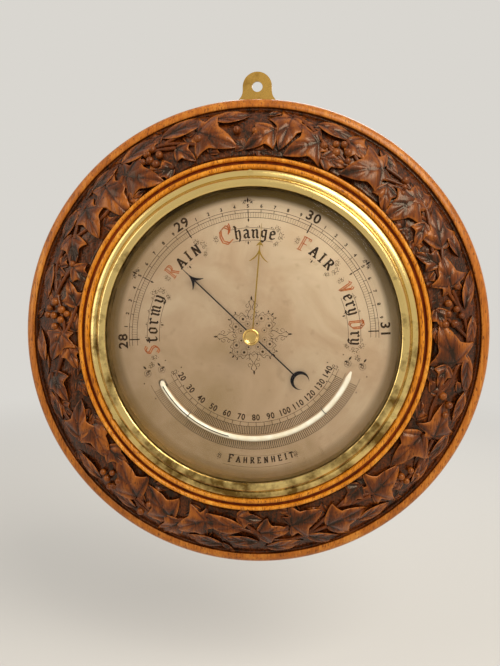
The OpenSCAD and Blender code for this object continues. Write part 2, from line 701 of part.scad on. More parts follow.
module dial() {
    color("tan") on_dial(dial_turn) difference() {
        translate([0, 0, z_dial_back]) cylinder(r = dial_r, h = dial_t, $fn = 180);
        translate([0, 0, z_dial_back - 1]) cylinder(d = dial_hole_d, h = dial_t + 2, $fn = 48);
        tie_places() for (s = [-1, 1]) translate([s * tie_r, 0, z_dial_back - 1])
            cylinder(d = tie_wire + 4 * fit, h = dial_t + 2, $fn = 16);
        along_thermo(arc_left) rotate([0, 0, -90]) translate([0, 0, z_dial_back - 1]) {
            translate([bend_r, 0, 0]) cylinder(d = tube_d + 1, h = dial_t + 2, $fn = 32);
            translate([bend_r - 2.6, 0, 0]) cylinder(d = tube_d + 1, h = dial_t + 2, $fn = 32);
            translate([bend_r - 2.6, -tube_d / 2 - 0.5, 0]) cube([2.6, tube_d + 1, dial_t + 2]);
        }
    }
}

module dial_feet() {
    color("goldenrod") on_dial(dial_turn) three(foot_place) difference() {
        translate([0, 0, z_in]) cylinder(d = foot_d, h = z_dial_back - z_in, $fn = 32);
        translate([0, 0, z_in - 1]) cylinder(d = small_screw_d + 2 * fit, h = 8, $fn = 24);
    }
}

module dial_foot_screws() {
    color("darkgoldenrod") on_dial(dial_turn) three(foot_place) translate([0, 0, floor_inset])
        mirror([0, 0, 1]) screw(small_screw_d, floor_t + 6, small_head_d, screw_head_t);
}

module base_plate() {
    color("goldenrod") on_dial() difference() {
        translate([0, base_up, z_in]) cylinder(d = base_d, h = base_t, $fn = 128);
        translate([0, capsule_y, z_in + 0.4]) cylinder(d = 6 + 2 * fit, h = base_t, $fn = 48);
        translate([adjust_x, adjust_y, z_in - 1]) cylinder(d = adjust_d + 2 * run, h = base_t + 2, $fn = 48);
        translate([adjust_x, adjust_y, z_in - 1]) cylinder(d = access_d - 1, h = 1 + base_t - 1.2, $fn = 48);
        translate([0, base_up, 0]) three(base_screw_at) translate([0, 0, z_in - 1])
            cylinder(d = small_screw_d + 2 * fit, h = base_t + 2, $fn = 24);
        bridge_screw_places() cylinder(d = small_screw_d + 2 * fit, h = 12, center = true, $fn = 24);
        for (s = [-1, 1]) translate([s * pillar_at, 0, z_in - 1])
            cylinder(d = small_screw_d + 2 * fit, h = base_t + 2, $fn = 24);
        bracket_screw_places() cylinder(d = small_screw_d + 2 * fit, h = 12, center = true, $fn = 24);
    }
}

module base_plate_screws() {
    color("darkgoldenrod") on_dial() translate([0, base_up, 0]) three(base_screw_at)
        translate([0, 0, floor_inset]) mirror([0, 0, 1])
        screw(small_screw_d, floor_t + base_t - 0.3, small_head_d, screw_head_t);
}

// The capsule's rings are pressed alike into its top and bottom
press_h = 0.5;
module capsule() {
    cr = capsule_d / 2;
    step = (cr - 5 - 4) / capsule_rings;
    top = [for (i = [0:capsule_rings - 1]) each [
        [5 + i * step, z_caps1 - 1.2], [5 + (i + 0.35) * step, z_caps1 - 1.2 + press_h],
        [5 + (i + 0.65) * step, z_caps1 - 1.2 + press_h]]];
    bottom = [for (q = top) [q[0], z_caps0 + z_caps1 - q[1]]];
    color("silver") on_dial() translate([0, capsule_y, 0]) rotate_extrude($fn = 96) polygon(concat(
        [[0, z_in + 0.5], [3, z_in + 0.5], [3, z_caps0], [5, z_caps0]],
        bottom,
        [[cr - 4, z_caps0 + 1.2], [cr - 3, z_caps0], [cr, z_caps0 + 0.4]],
        [[cr, z_caps1 - 0.4], [cr - 3, z_caps1], [cr - 4, z_caps1 - 1.2]],
        backwards(top),
        [[5, z_caps1], [5, z_post], [0, z_post]]
    ));
}

post_top = z_lever + 2.2;
pin_d = 1.2;
z_pin = z_lever + pin_d / 2 + 0.02;
module capsule_post() {
    color("silver") on_dial() difference() {
        translate([0, capsule_y, z_post]) cylinder(d = post_d, h = post_top - z_post, $fn = 48);
        translate([0, capsule_y, z_pin]) rotate([0, 90, 0])
            cylinder(d = pin_d + 2 * fit, h = 20, center = true, $fn = 24);
    }
}

module knife_edge() {
    color("dimgray") on_dial() translate([0, capsule_y, z_pin]) rotate([0, 90, 0])
        cylinder(d = pin_d, h = post_d + 5, center = true, $fn = 24);
}

module bridge_screw_places() {
    for (s = [-1, 1]) translate([s * leg_at, bar_y0 - 3.5, z_base + 2]) children();
}

module bridge() {
    color("darkslategray") on_dial() difference() {
        union() {
            for (s = [-1, 1]) {
                translate([s * leg_at - leg_w / 2, bar_y0, z_base])
                    cube([leg_w, bridge_w, z_leaf0 - z_base]);
                translate([s * leg_at - leg_w / 2, bar_y0 - 7, z_base]) cube([leg_w, 7.01, 2]);
            }
            translate([-leg_at, bar_y0, z_bar]) cube([2 * leg_at, bridge_w, bridge_t]);
        }
        translate([adjust_x, adjust_y, z_base - 1]) cylinder(d = adjust_d + 2 * run, h = 8, $fn = 48);
        bridge_screw_places() cylinder(d = small_screw_d + 2 * fit, h = 12, center = true, $fn = 24);
        mainspring_screw_places()
            cylinder(d = small_screw_d + 2 * fit, h = 2 * bridge_t - 1, center = true, $fn = 24);
    }
}

module bridge_screws() {
    color("dimgray") on_dial() bridge_screw_places()
        screw(small_screw_d, 2 + base_t - 0.4, small_head_d, screw_head_t);
}

module mainspring_screw_places() {
    for (s = [-1, 1]) translate([s * (spring_w / 2 + 1), (bar_y0 + bar_y1) / 2, z_leaf0]) children();
}

// The spring: a clamped lower leaf with ears, a bend, and an upper leaf with a slot for the post
leaf_end = capsule_y - post_d / 2 - 2.6;
module mainspring() {
    color("steelblue") on_dial() difference() {
        union() {
            translate([-spring_w / 2, bar_y0, z_leaf0]) cube([spring_w, bend_y - bar_y0, spring_t]);
            translate([-spring_w / 2 - 4, bar_y0 + 1, z_leaf0]) cube([spring_w + 8, bridge_w - 2, spring_t]);
            translate([-spring_w / 2, leaf_end, z_leaf1]) cube([spring_w, bend_y - leaf_end, spring_t]);
            translate([0, bend_y, z_bend]) rotate([0, 90, 0]) difference() {
                cylinder(r = spring_bend + spring_t, h = spring_w, center = true, $fn = 64);
                cylinder(r = spring_bend, h = spring_w + 2, center = true, $fn = 64);
                translate([-10, -20, -spring_w]) cube([20, 20, 2 * spring_w]);
            }
        }
        translate([0, capsule_y, z_leaf1 - 1]) cylinder(d = post_d + 2 * pass, h = spring_t + 2, $fn = 48);
        mainspring_screw_places() cylinder(d = small_screw_d + 2 * fit, h = 12, center = true, $fn = 24);
        lever_rivet_places() cylinder(d = 1.2 + 2 * fit, h = 12, center = true, $fn = 24);
    }
}

module mainspring_screws() {
    color("dimgray") on_dial() mainspring_screw_places() translate([0, 0, spring_t])
        screw(small_screw_d, spring_t + bridge_t - 1.2, 3.4, 1);
}

module lever_rivet_places() {
    for (y = [bar_y0 - 6, bar_y0 - 14]) translate([lever_x, y, z_lever]) children();
}

// The lever lies on the spring's upper leaf and runs past the arbor to the link
module main_lever() {
    color("goldenrod") on_dial() difference() {
        translate([lever_x - lever_w / 2, tip_y - 2, z_lever]) cube([lever_w, bar_y0 - tip_y, lever_t]);
        lever_rivet_places() cylinder(d = 1.2 + 2 * fit, h = 12, center = true, $fn = 24);
        translate([lever_x, tip_y, z_lever - 1]) cylinder(d = link_d + 2 * fit, h = lever_t + 2, $fn = 24);
    }
}

module lever_rivets() {
    color("darkgoldenrod") on_dial() lever_rivet_places() {
        translate([0, 0, lever_t]) cylinder(d = 2.2, h = 0.5, $fn = 24);
        translate([0, 0, -spring_t]) cylinder(d = 1.2, h = spring_t + lever_t + 0.01, $fn = 24);
        translate([0, 0, -spring_t - 0.4]) cylinder(d = 2.2, h = 0.4, $fn = 24);
    }
}

// The link hangs from the lever; its eye lies loosely round the pin of the lower arm
module link_rod() {
    color("silver") on_dial() {
        difference() {
            union() {
                translate([lever_x, tip_y, z_tip]) rotate([0, 90, 0])
                    cylinder(d = eye_d, h = 1, center = true, $fn = 32);
                translate([lever_x, tip_y, z_tip + eye_d / 2 - 0.4])
                    cylinder(d = link_d, h = z_lever + lever_t - z_tip - eye_d / 2 + 0.4, $fn = 24);
            }
            translate([lever_x, tip_y, z_tip]) rotate([0, 90, 0])
                cylinder(d = eye_hole_d, h = 6, center = true, $fn = 32);
        }
        translate([lever_x, tip_y, z_lever + lever_t]) cylinder(d = 2, h = 0.4, $fn = 24);
    }
}

// The rocking shaft at rest, its upper arm under the chain and its lower arm at the link
module rocking_shaft() {
    color("silver") on_dial() translate([0, rock_y, z_rock]) rotate([rock_rest, 0, 0]) {
        translate([rock_x0 + 0.2, 0, 0]) rotate([0, 90, 0])
            cylinder(d = rock_d, h = rock_x1 - rock_x0 - 0.4, $fn = 32);
        for (x = [rock_x0 - upright_t, rock_x1 - 0.21]) translate([x, 0, 0]) rotate([0, 90, 0])
            cylinder(d = pivot_d, h = upright_t + 0.21, $fn = 32);
        translate([roller_d / 2 - 0.6, -0.8, 0]) cube([1.2, 1.6, upper_arm - 0.7]);
        translate([lever_x - 2.4, -lower_arm - 0.9, -0.8]) cube([1.2, lower_arm + 0.9, 1.6]);
        translate([lever_x - 2.4, -lower_arm, 0]) rotate([0, 90, 0])
            cylinder(d = link_pin_d, h = 3.4, $fn = 24);
    }
}

module bracket_screw_places() {
    for (x = [rock_x0 + 5, rock_x1 - 10]) translate([x, rock_y, z_base + 1.5]) children();
}

module rocking_bracket() {
    color("goldenrod") on_dial() difference() {
        union() {
            translate([rock_x0 - upright_t, rock_y - 3.5, z_base])
                cube([rock_x1 - rock_x0 + 2 * upright_t, 7, 1.5]);
            for (x = [rock_x0 - upright_t, rock_x1]) translate([x, rock_y - 2.5, z_base])
                cube([upright_t, 5, rock_h + 2.5]);
        }
        translate([rock_x0 - 5, rock_y, z_rock]) rotate([0, 90, 0])
            cylinder(d = pivot_d + 2 * run, h = rock_x1 - rock_x0 + 10, $fn = 32);
        bracket_screw_places() cylinder(d = small_screw_d + 2 * fit, h = 12, center = true, $fn = 24);
    }
}

module bracket_screws() {
    color("dimgray") on_dial() bracket_screw_places()
        screw(small_screw_d, 1.5 + base_t - 0.4, small_head_d, 1);
}

// Flat links in turn narrow and wide, from the upper arm's tip to the roller
link_pitch = 1.5;
module chain() {
    run_l = -chain_y - 0.5;
    count = floor(run_l / link_pitch);
    pitch = run_l / count;
    color("dimgray") on_dial() for (i = [0:count - 1])
        translate([roller_d / 2, chain_y + i * pitch, z_chain])
        translate([-0.25, -0.01, i % 2 == 0 ? -0.45 : -0.3])
        cube([0.5, pitch + 0.02, i % 2 == 0 ? 0.9 : 0.6]);
}

z_arbor_top = z_hand + hand_t + 1;
module arbor() {
    color("silver") on_dial() {
        translate([0, 0, z_low_cock + 0.1]) cylinder(d = arbor_d - 0.6, h = cock_t, $fn = 32);
        translate([0, 0, z_low_cock + cock_t + 0.1])
            cylinder(d = arbor_d, h = z_arbor_top - z_low_cock - cock_t - 0.1, $fn = 32);
    }
}

module chain_roller() {
    color("goldenrod") on_dial() translate([0, 0, z_chain - roller_h / 2]) difference() {
        union() {
            cylinder(d = roller_d - 0.8, h = roller_h, $fn = 48);
            for (z = [0, roller_h - 0.4]) translate([0, 0, z]) cylinder(d = roller_d + 1, h = 0.4, $fn = 48);
        }
        translate([0, 0, -1]) cylinder(d = arbor_d + 2 * press, h = roller_h + 2, $fn = 32);
    }
}

// One unbroken flat strip, wound out from its collet on the arbor to its stud
module hairspring() {
    n = ceil(hair_turns * 24);
    function coil(r0) = [for (i = [0:n]) let (turns = hair_turns * i / n, r = r0 + hair_pitch * turns)
        [-r * cos(360 * turns), -r * sin(360 * turns)]];
    inner = coil(hair_r0);
    outer = backwards(coil(hair_r0 + hair_t));
    color("steelblue") on_dial() translate([0, 0, z_hair]) {
        linear_extrude(hair_h) polygon(concat(inner, outer));
        difference() {
            cylinder(r = hair_r0 + 0.1, h = hair_h, $fn = 32);
            translate([0, 0, -1]) cylinder(d = arbor_d + 2 * press, h = hair_h + 2, $fn = 32);
        }
    }
}

stud_a = 180 + 360 * hair_turns;
module hairspring_stud() {
    color("goldenrod") on_dial() rotate([0, 0, stud_a])
        translate([hair_r1 + hair_t + 0.6, 0, z_low_cock + cock_t])
        cylinder(d = 1, h = z_hair + hair_h - z_low_cock - cock_t + 0.3, $fn = 24);
}

module cock_outline() {
    translate([-pillar_at, -bar_half]) square([2 * pillar_at, 2 * bar_half]);
    for (s = [-1, 1]) translate([s * pillar_at, 0]) circle(r = bar_half, $fn = 48);
    circle(r = bar_half + 1.5, $fn = 64);
}

module lower_cock() {
    color("goldenrod") on_dial() difference() {
        union() {
            translate([0, 0, z_low_cock]) linear_extrude(cock_t) cock_outline();
            translate([-hair_r1 - 2.5, -2, z_low_cock]) cube([hair_r1, 4, cock_t]);
        }
        translate([0, 0, z_low_cock - 1]) cylinder(d = arbor_d - 0.6 + 2 * run, h = cock_t + 2, $fn = 32);
        for (s = [-1, 1]) translate([s * pillar_at, 0, z_low_cock - 1])
            cylinder(d = pillar_d - 1.6 + 2 * fit, h = cock_t + 2, $fn = 32);
    }
}

module upper_cock() {
    color("goldenrod") on_dial() difference() {
        translate([0, 0, z_cock]) linear_extrude(cock_t) cock_outline();
        translate([0, 0, z_cock - 1]) cylinder(d = arbor_d + 2 * run, h = cock_t + 2, $fn = 32);
        for (s = [-1, 1]) translate([s * pillar_at, 0, z_cock + cock_t])
            flush_hole(small_screw_d, 3, 3.4, 0.8);
    }
}

// Each pillar has a shoulder for the lower cock and a collar above it for the upper one
module cock_pillars() {
    color("goldenrod") on_dial() for (s = [-1, 1]) translate([s * pillar_at, 0, 0]) difference() {
        union() {
            translate([0, 0, z_in + 0.4]) cylinder(d = small_screw_d, h = base_t, $fn = 24);
            translate([0, 0, z_base]) cylinder(d = pillar_d, h = z_low_cock - z_base, $fn = 48);
            translate([0, 0, z_low_cock - 0.01])
                cylinder(d = pillar_d - 1.6, h = z_cock - z_low_cock + 0.01, $fn = 48);
        }
        translate([0, 0, z_cock - 4]) cylinder(d = small_screw_d + 2 * fit, h = 5, $fn = 24);
    }
}

module cock_screws() {
    color("dimgray") on_dial() for (s = [-1, 1]) translate([s * pillar_at, 0, z_cock + cock_t])
        flush_screw(small_screw_d, 4, 3.4, 0.8);
}

// Half the outline of a hand's barb: from its point to its end, and back in to the notch
function barb(at, w, notch, neck) = concat(
    bow([0.3, at + 8], [0.9, at + 3.6], [w, at], 10),
    bow([w - 0.2, at - 0.25], [w * 0.4, at + 1.1], [neck / 2, notch], 8)
);

// The blued hand: an arrow on a needle, and a crescent behind the arbor with its horns turned away
notch_in = 2.6;
horn_thin = 1.1;
module blued_hand() {
    outer_r = crescent_d / 2;
    needle = concat(
        [[tip_w / 2, hand_l]],
        barb(hand_barb_at, hand_barb_w, hand_barb_at + notch_in, hand_w),
        [[hand_w / 2, outer_r - crescent_at - crescent_t / 2]]
    );
    color("midnightblue") on_dial(dial_turn - hand_rest) translate([0, 0, z_hand]) difference() {
        union() {
            linear_extrude(hand_t) polygon(concat(needle, flip(needle)));
            cylinder(d = hub_d, h = hand_t, $fn = 48);
            difference() {
                translate([0, -crescent_at, 0]) cylinder(r = outer_r, h = hand_t, $fn = 64);
                translate([0, horn_thin - crescent_at - crescent_t, -1])
                    cylinder(r = outer_r - horn_thin, h = hand_t + 2, $fn = 64);
            }
        }
        translate([0, 0, -1]) cylinder(d = arbor_d + 2 * press, h = hand_t + 2, $fn = 32);
    }
}

module hand_collet() {
    color("goldenrod") on_dial() difference() {
        translate([0, 0, z_hand - 1.2]) cylinder(d = collet_d, h = 1.2, $fn = 48);
        translate([0, 0, z_hand - 2]) cylinder(d = arbor_d + 2 * press, h = 3, $fn = 32);
    }
}

// The set hand: a needle with a small pair of horns, then its barbs on a plain stem
set_horn_at = 9.4;
set_notch_in = 4.8;
module set_hand() {
    h = set_barb_at + set_horn_at;
    horn = concat(
        bow([0.6, h + 2.4], [1.6, h + 2], [2.2, h], 6),
        bow([1.9, h], [1.2, h + 1], [0.3, h + 0.8], 6)
    );
    needle = concat(
        [[tip_w / 2, set_l], [0.2, h + 3]],
        horn,
        barb(set_barb_at, set_barb_w, set_barb_at + set_notch_in, set_w),
        [[set_w / 2, 0]]
    );
    color("goldenrod") on_dial(dial_turn - set_rest) translate([0, 0, z_set]) difference() {
        union() {
            linear_extrude(hand_t) polygon(concat(needle, flip(needle)));
            cylinder(d = spindle_d + 2.6, h = hand_t, $fn = 48);
        }
        translate([0, 0, -1]) cylinder(d = spindle_d + 2 * press, h = hand_t + 2, $fn = 48);
    }
}

collar_d = 5;
module set_spindle() {
    color("goldenrod") on_dial() {
        translate([0, 0, z_set - 0.9]) cylinder(d = collar_d, h = 0.89, $fn = 48);
        translate([0, 0, z_set - 0.1]) cylinder(d = spindle_d, h = z_glass1 + 3 - z_set + 0.1, $fn = 48);
    }
}

module set_washer() {
    color("goldenrod") on_dial() difference() {
        translate([0, 0, z_set + hand_t]) cylinder(d = 7, h = z_glass0 - 0.1 - z_set - hand_t, $fn = 48);
        translate([0, 0, z_set]) cylinder(d = spindle_d + 2 * fit, h = 6, $fn = 48);
    }
}

// The knob: a base on the glass, a waist and a button with a round rim and a dished face
knob_rim = 0.7;
knob_dish = 1.5;
module set_knob() {
    kr = knob_d / 2;
    rim_at = kr - 0.05 - knob_rim;
    color("gold") on_dial() translate([0, 0, z_glass1 + 0.15]) rotate_extrude($fn = 96) polygon(concat(
        [[spindle_d / 2 + 0.01, 0], [3, 0], [3, 0.7]],
        bow([2.2, 1], [2, knob_h * 0.3], [kr - 0.6, knob_h * 0.42], 6),
        bow([kr - 0.1, knob_h * 0.5], [kr, knob_h * 0.6], [kr, knob_h - 1.4], 4),
        arc([rim_at, knob_h - knob_rim], [knob_rim, knob_rim], 0, 180, 10),
        bow([rim_at - knob_rim - 0.1, knob_h - knob_rim - 0.15], [kr * 0.45, knob_h - knob_dish],
            [0, knob_h - knob_dish], 8),
        [[0, 2.9], [spindle_d / 2 + 0.01, 2.9]]
    ));
}

module adjusting_screw() {
    color("silver") on_dial() translate([adjust_x, adjust_y, z_in - 0.4]) {
        difference() {
            cylinder(d = access_d - 1.8, h = 1.4, $fn = 48);
            translate([-10, -0.5, -1]) cube([20, 1, 1.7]);
        }
        translate([0, 0, 1.39]) cylinder(d = adjust_d, h = z_base + 6 - z_in - 1, $fn = 48);
    }
}

oak_surround();
hanger_plate();
hanger_screws();
case();
bezel();
bezel_screws();
glass();
sight_ring();
dial();
dial_feet();
dial_foot_screws();
thermometer_tube();
thermometer_mercury();
thermometer_ties();
base_plate();
base_plate_screws();
capsule();
capsule_post();
knife_edge();
bridge();
bridge_screws();
mainspring();
mainspring_screws();
main_lever();
lever_rivets();
link_rod();
rocking_shaft();
rocking_bracket();
bracket_screws();
chain();
arbor();
chain_roller();
hairspring();
hairspring_stud();
lower_cock();
upper_cock();
cock_pillars();
cock_screws();
blued_hand();
hand_collet();
set_knob();
set_spindle();
set_washer();
set_hand();
adjusting_screw();
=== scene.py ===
# Wall barometer in carved oak. Lengths are millimetres until place() turns them to metres.
import math
import random

import bmesh
import bpy
from mathutils import Euler, Matrix, Vector, noise


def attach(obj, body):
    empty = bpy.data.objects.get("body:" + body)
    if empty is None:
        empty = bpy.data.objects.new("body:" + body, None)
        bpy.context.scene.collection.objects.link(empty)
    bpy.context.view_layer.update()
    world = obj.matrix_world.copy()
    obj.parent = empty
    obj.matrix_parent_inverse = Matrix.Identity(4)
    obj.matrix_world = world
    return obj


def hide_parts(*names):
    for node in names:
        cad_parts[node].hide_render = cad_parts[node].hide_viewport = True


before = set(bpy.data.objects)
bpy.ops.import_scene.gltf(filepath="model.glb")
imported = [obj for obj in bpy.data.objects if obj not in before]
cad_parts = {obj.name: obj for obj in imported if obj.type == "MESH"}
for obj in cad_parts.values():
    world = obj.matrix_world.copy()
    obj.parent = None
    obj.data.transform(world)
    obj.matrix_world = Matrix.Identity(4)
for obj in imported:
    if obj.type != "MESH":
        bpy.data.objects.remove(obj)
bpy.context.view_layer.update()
scene = bpy.context.scene
print("frame loaded")

# dial space: x right, y up from the dial's centre, z out from the wall
dial = {
    "drop": 163.6,      # hanging hole down to the dial's centre
    "turn": 2.7,        # the dial sits this much anticlockwise in its case
    "face": 29.2,       # height of the dial's face
    "wax": 0.03,        # height of the engraver's wax over the face
    "tube": 65.8,       # radius of the thermometer's arc
    "tubeAxis": 31.0,   # height of the tube's axis
}


def place(x, y, z):
    return Vector((x * 0.001, -z * 0.001, (y - dial["drop"]) * 0.001))


def polar(radius, clockwise):
    angle = math.radians(clockwise)
    return radius * math.sin(angle), radius * math.cos(angle)


def addObject(name, data):
    made = bpy.data.objects.new(name, data)
    scene.collection.objects.link(made)
    return made


# what an object is after its modifiers, as a mesh of its own
def plainMesh(holder):
    return bpy.data.meshes.new_from_object(holder.evaluated_get(bpy.context.evaluated_depsgraph_get()))


# the camera was solved from ten circles and points of the photograph
photo = {
    "focal": 675.0,     # in pixels
    "tall": 666,        # in pixels
    "tilt": (0.05134591, -0.05952824, 0.01008716),
    "plumb": -1.26,
    "shift": (3.488, 0.0027),
    "distance": 457.46,
}
cameraTurn = Euler(photo["tilt"]).to_matrix() @ Matrix.Rotation(math.radians(photo["plumb"]), 3, "Z")
backTurn = cameraTurn.transposed()
eye = backTurn @ Vector((-photo["shift"][0], -photo["shift"][1], photo["distance"]))
dialToWorld = Matrix(((1, 0, 0), (0, 0, -1), (0, 1, 0)))

cameraData = bpy.data.cameras.new("camera")
cameraData.sensor_width = 36
cameraData.lens = photo["focal"] * cameraData.sensor_width / photo["tall"]
cameraData.clip_start = 0.01
cameraData.clip_end = 20
camera = addObject("camera", cameraData)
camera.matrix_world = Matrix.Translation(place(*eye)) @ (dialToWorld @ backTurn).to_4x4()
scene.camera = camera
scene.view_settings.view_transform = "Standard"


def toLinear(code):
    channels = [int(code[i:i + 2], 16) / 255 for i in (0, 2, 4)]
    return [c / 12.92 if c <= 0.04045 else ((c + 0.055) / 1.055) ** 2.4 for c in channels] + [1.0]


# each input gets a constant, a hex colour, a socket, or a node's first socket
def setInputs(tree, node, inputs):
    for key, value in inputs.items():
        if isinstance(value, bpy.types.Node):
            value = value.outputs[0]
        if isinstance(value, bpy.types.NodeSocket):
            tree.links.new(value, node.inputs[key])
        else:
            node.inputs[key].default_value = toLinear(value) if isinstance(value, str) else value


# adds a node with its settings and inputs, and a colour ramp's stops
def addNode(tree, kind, inputs=None, stops=None, **settings):
    node = tree.nodes.new(kind)
    for key, value in settings.items():
        setattr(node, key, value)
    setInputs(tree, node, inputs or {})
    if stops:
        ramp = node.color_ramp
        while len(ramp.elements) < len(stops):
            ramp.elements.new(0.5)
        for element, (where, colour) in zip(ramp.elements, stops):
            element.position = where
            element.color = toLinear(colour) if isinstance(colour, str) else colour
    return node


def startMaterial(name, inputs):
    material = bpy.data.materials.new(name)
    material.use_nodes = True
    tree = material.node_tree
    shader = tree.nodes["Principled BSDF"]
    setInputs(tree, shader, {"Base Color": "808080", **inputs})
    coords = addNode(tree, "ShaderNodeTexCoord").outputs["Object"]
    return material, tree, shader, coords


# a point's place from the dial's axis, and its distance, in metres
def fromAxis(tree, coords):
    centred = addNode(tree, "ShaderNodeMapping", {
        "Vector": coords, "Location": (0, 0, dial["drop"] * 0.001), "Scale": (1, 0, 1)})
    distance = addNode(tree, "ShaderNodeVectorMath", {0: centred}, operation="LENGTH")
    return addNode(tree, "ShaderNodeSeparateXYZ", {0: centred}), distance.outputs["Value"]


# oak: grain and open pores run straight up the board, whatever the turning does
def makeOak(name, colours, pore, roughness, poreDepth, poreShare=0.3, carved=False):
    material, tree, shader, coords = startMaterial(name, {
        "Roughness": roughness, "Specular IOR Level": 0.38, "Specular Tint": (1, 0.8, 0.6, 1)})
    along = addNode(tree, "ShaderNodeMapping", {"Vector": coords, "Scale": (1, 1, 0.07)})
    figure = addNode(tree, "ShaderNodeTexNoise", {
        "Vector": along, "Scale": 260, "Detail": 4, "Roughness": 0.6})
    fine = addNode(tree, "ShaderNodeTexNoise", {
        "Vector": along, "Scale": 1100, "Detail": 3, "Roughness": 0.55})
    poreMap = addNode(tree, "ShaderNodeMapping", {"Vector": coords, "Scale": (1, 1, 0.16)})
    pores = addNode(tree, "ShaderNodeTexNoise", {"Vector": poreMap, "Scale": 1500, "Detail": 1})
    cloud = addNode(tree, "ShaderNodeTexNoise", {"Vector": coords, "Scale": 45, "Detail": 3})
    parts = [(figure, 0.5), (fine, 0.3), (cloud, 0.25)]
    blend = 0.0
    # carved oak follows the relief attribute too: painted shade darkens it low in the carving, wear pales
    # its high edges
    if carved:
        height = addNode(tree, "ShaderNodeAttribute", attribute_name="relief")
        parts.append((height.outputs["Fac"], 0.62))
        blend = -0.33
    for part, share in parts:
        blend = addNode(tree, "ShaderNodeMath", {0: part, 1: share, 2: blend}, operation="MULTIPLY_ADD")
    colour = addNode(tree, "ShaderNodeValToRGB", {"Fac": blend}, list(zip((0.3, 0.52, 0.78), colours)))
    poreMask = addNode(tree, "ShaderNodeValToRGB", {"Fac": pores}, [
        (poreShare, (0.8, 0.8, 0.8, 1)), (poreShare + 0.06, (0, 0, 0, 1))])
    darker = addNode(tree, "ShaderNodeMixRGB", {"Fac": poreMask, "Color1": colour, "Color2": pore})
    grain = addNode(tree, "ShaderNodeMath", {0: poreMask, 1: -0.8, 2: fine}, operation="MULTIPLY_ADD")
    bump = addNode(tree, "ShaderNodeBump", {"Strength": poreDepth, "Distance": 0.0003, "Height": grain})
    setInputs(tree, shader, {"Base Color": darker, "Normal": bump})
    return material


# turned or rolled metal: faint rings round the dial's axis, fine scratches and a cloudy tarnish; where low
# is over 0 the dark colour is also painted on as shade towards the bottom, and where it is under 0 towards
# the top
def makeMetal(name, colour, tarnishAndShade, roughness, rings=0.0, patch=60.0, low=0.0):
    material, tree, shader, coords = startMaterial(name, {"Metallic": 1.0, "Roughness": roughness})
    across, distance = fromAxis(tree, coords)
    turning = addNode(tree, "ShaderNodeTexNoise", {"W": distance, "Scale": 2600, "Detail": 3},
                      noise_dimensions="1D")
    cloud = addNode(tree, "ShaderNodeTexNoise", {
        "Vector": coords, "Scale": patch, "Detail": 5, "Roughness": 0.62})
    scratch = addNode(tree, "ShaderNodeTexNoise", {"Vector": coords, "Scale": 1800, "Detail": 2})
    # painted shade: low tilts the tarnish colour towards the bottom or the top
    shadeAndTarnishMix = addNode(tree, "ShaderNodeMath", {0: across.outputs["Z"], 1: low, 2: cloud},
                    operation="MULTIPLY_ADD")
    shade = addNode(tree, "ShaderNodeValToRGB", {"Fac": shadeAndTarnishMix}, [(0.32, tarnishAndShade), (0.5, colour)])
    rough = addNode(tree, "ShaderNodeMapRange", {
        "Value": cloud, "From Min": 0.3, "From Max": 0.7,
        "To Min": roughness + 0.1, "To Max": roughness - 0.04})
    relief = addNode(tree, "ShaderNodeMath", {0: turning, 1: rings, 2: scratch}, operation="MULTIPLY_ADD")
    bump = addNode(tree, "ShaderNodeBump", {"Strength": 0.12, "Distance": 0.00005, "Height": relief})
    setInputs(tree, shader, {"Base Color": shade, "Roughness": rough, "Normal": bump})
    return material


# oak, stained and shellacked: the carving is dark red-brown, worn paler on its high edges
# and darkened with painted shade in its recesses
carvedOak = makeOak("oakCarvedStained", ("1c0a02", "5c2807", "985418"), "1c0a02", 0.25, 0.4, carved=True)
# oak, turned and polished: golden orange with short dark pores
turnedOak = makeOak("oakTurnedPolished", ("8e4a08", "ca7c1a", "ecb04a"), "6a3008", 0.25, 0.15, 0.36)
# oak, turned rim: the same polish, browner and more worn
rimOak = makeOak("oakTurnedRim", ("6e340a", "a85e18", "d6923c"), "54260a", 0.3, 0.15, 0.34)
# oak, stained hollow between the beads: darker than the beads
hollowOak = makeOak("oakStainedHollow", ("2c0e02", "702a06", "9c440c"), "1c0a02", 0.42, 0.2)
# oak, plain board at the back: dry and unpolished
backOak = makeOak("oakBareBack", ("5a3a20", "8d6338", "b58a56"), "4a3018", 0.7, 0.6)
# brass, turned and lacquered: yellow with fine turning marks, and painted shade that darkens it towards the
# bottom
bezelBrass = makeMetal("brassTurnedLacquered", "dcc07a", "6e5426", 0.2, rings=1.8, low=1.1)
# brass, darkened by toning: olive, half matt, and painted shade that darkens it towards the top
sightBrass = makeMetal("brassTonedOlive", "968252", "4c3c1c", 0.36, rings=1.2, low=-1.5)
# brass, sheet: slightly dull, hand-filed edges
sheetBrass = makeMetal("brassSheetAged", "bc944a", "846228", 0.26, patch=90.0)
# brass, spun: even and plain
spunBrass = makeMetal("brassSpun", "c4a96c", "ac9156", 0.32, rings=1.6, patch=30.0)
# brass, polished knob: bright and deep
knobBrass = makeMetal("brassPolishedKnob", "d2b06c", "a07c3c", 0.2, rings=0.5)
# brass, needle of the set hand: brown with age
needleBrass = makeMetal("brassNeedleAged", "9c7a2a", "6a501a", 0.34)
# brass, machined parts of the movement
movementBrass = makeMetal("brassMachined", "d3b66c", "a58848", 0.28, rings=0.8)
# steel, blued until it is nearly black
bluedSteel = makeMetal("steelBlued", "1f1718", "110c0e", 0.32)
# steel, turned and bright
brightSteel = makeMetal("steelTurned", "a8a6a2", "7c7974", 0.3)
# steel, slotted screws: dulled heads
screwSteel = makeMetal("steelScrews", "8c8882", "5a5650", 0.38)
# nickel silver, pressed sheet
capsuleMetal = makeMetal("nickelSilverPressed", "c0bcb2", "98938a", 0.33, rings=0.8)
# mercury: a liquid mirror
mercuryMetal = makeMetal("mercuryLiquid", "8c8c90", "7a7a80", 0.08)
# wire, annealed iron: dark and dull
wireIron = makeMetal("ironWireAnnealed", "3a342e", "211d19", 0.5)


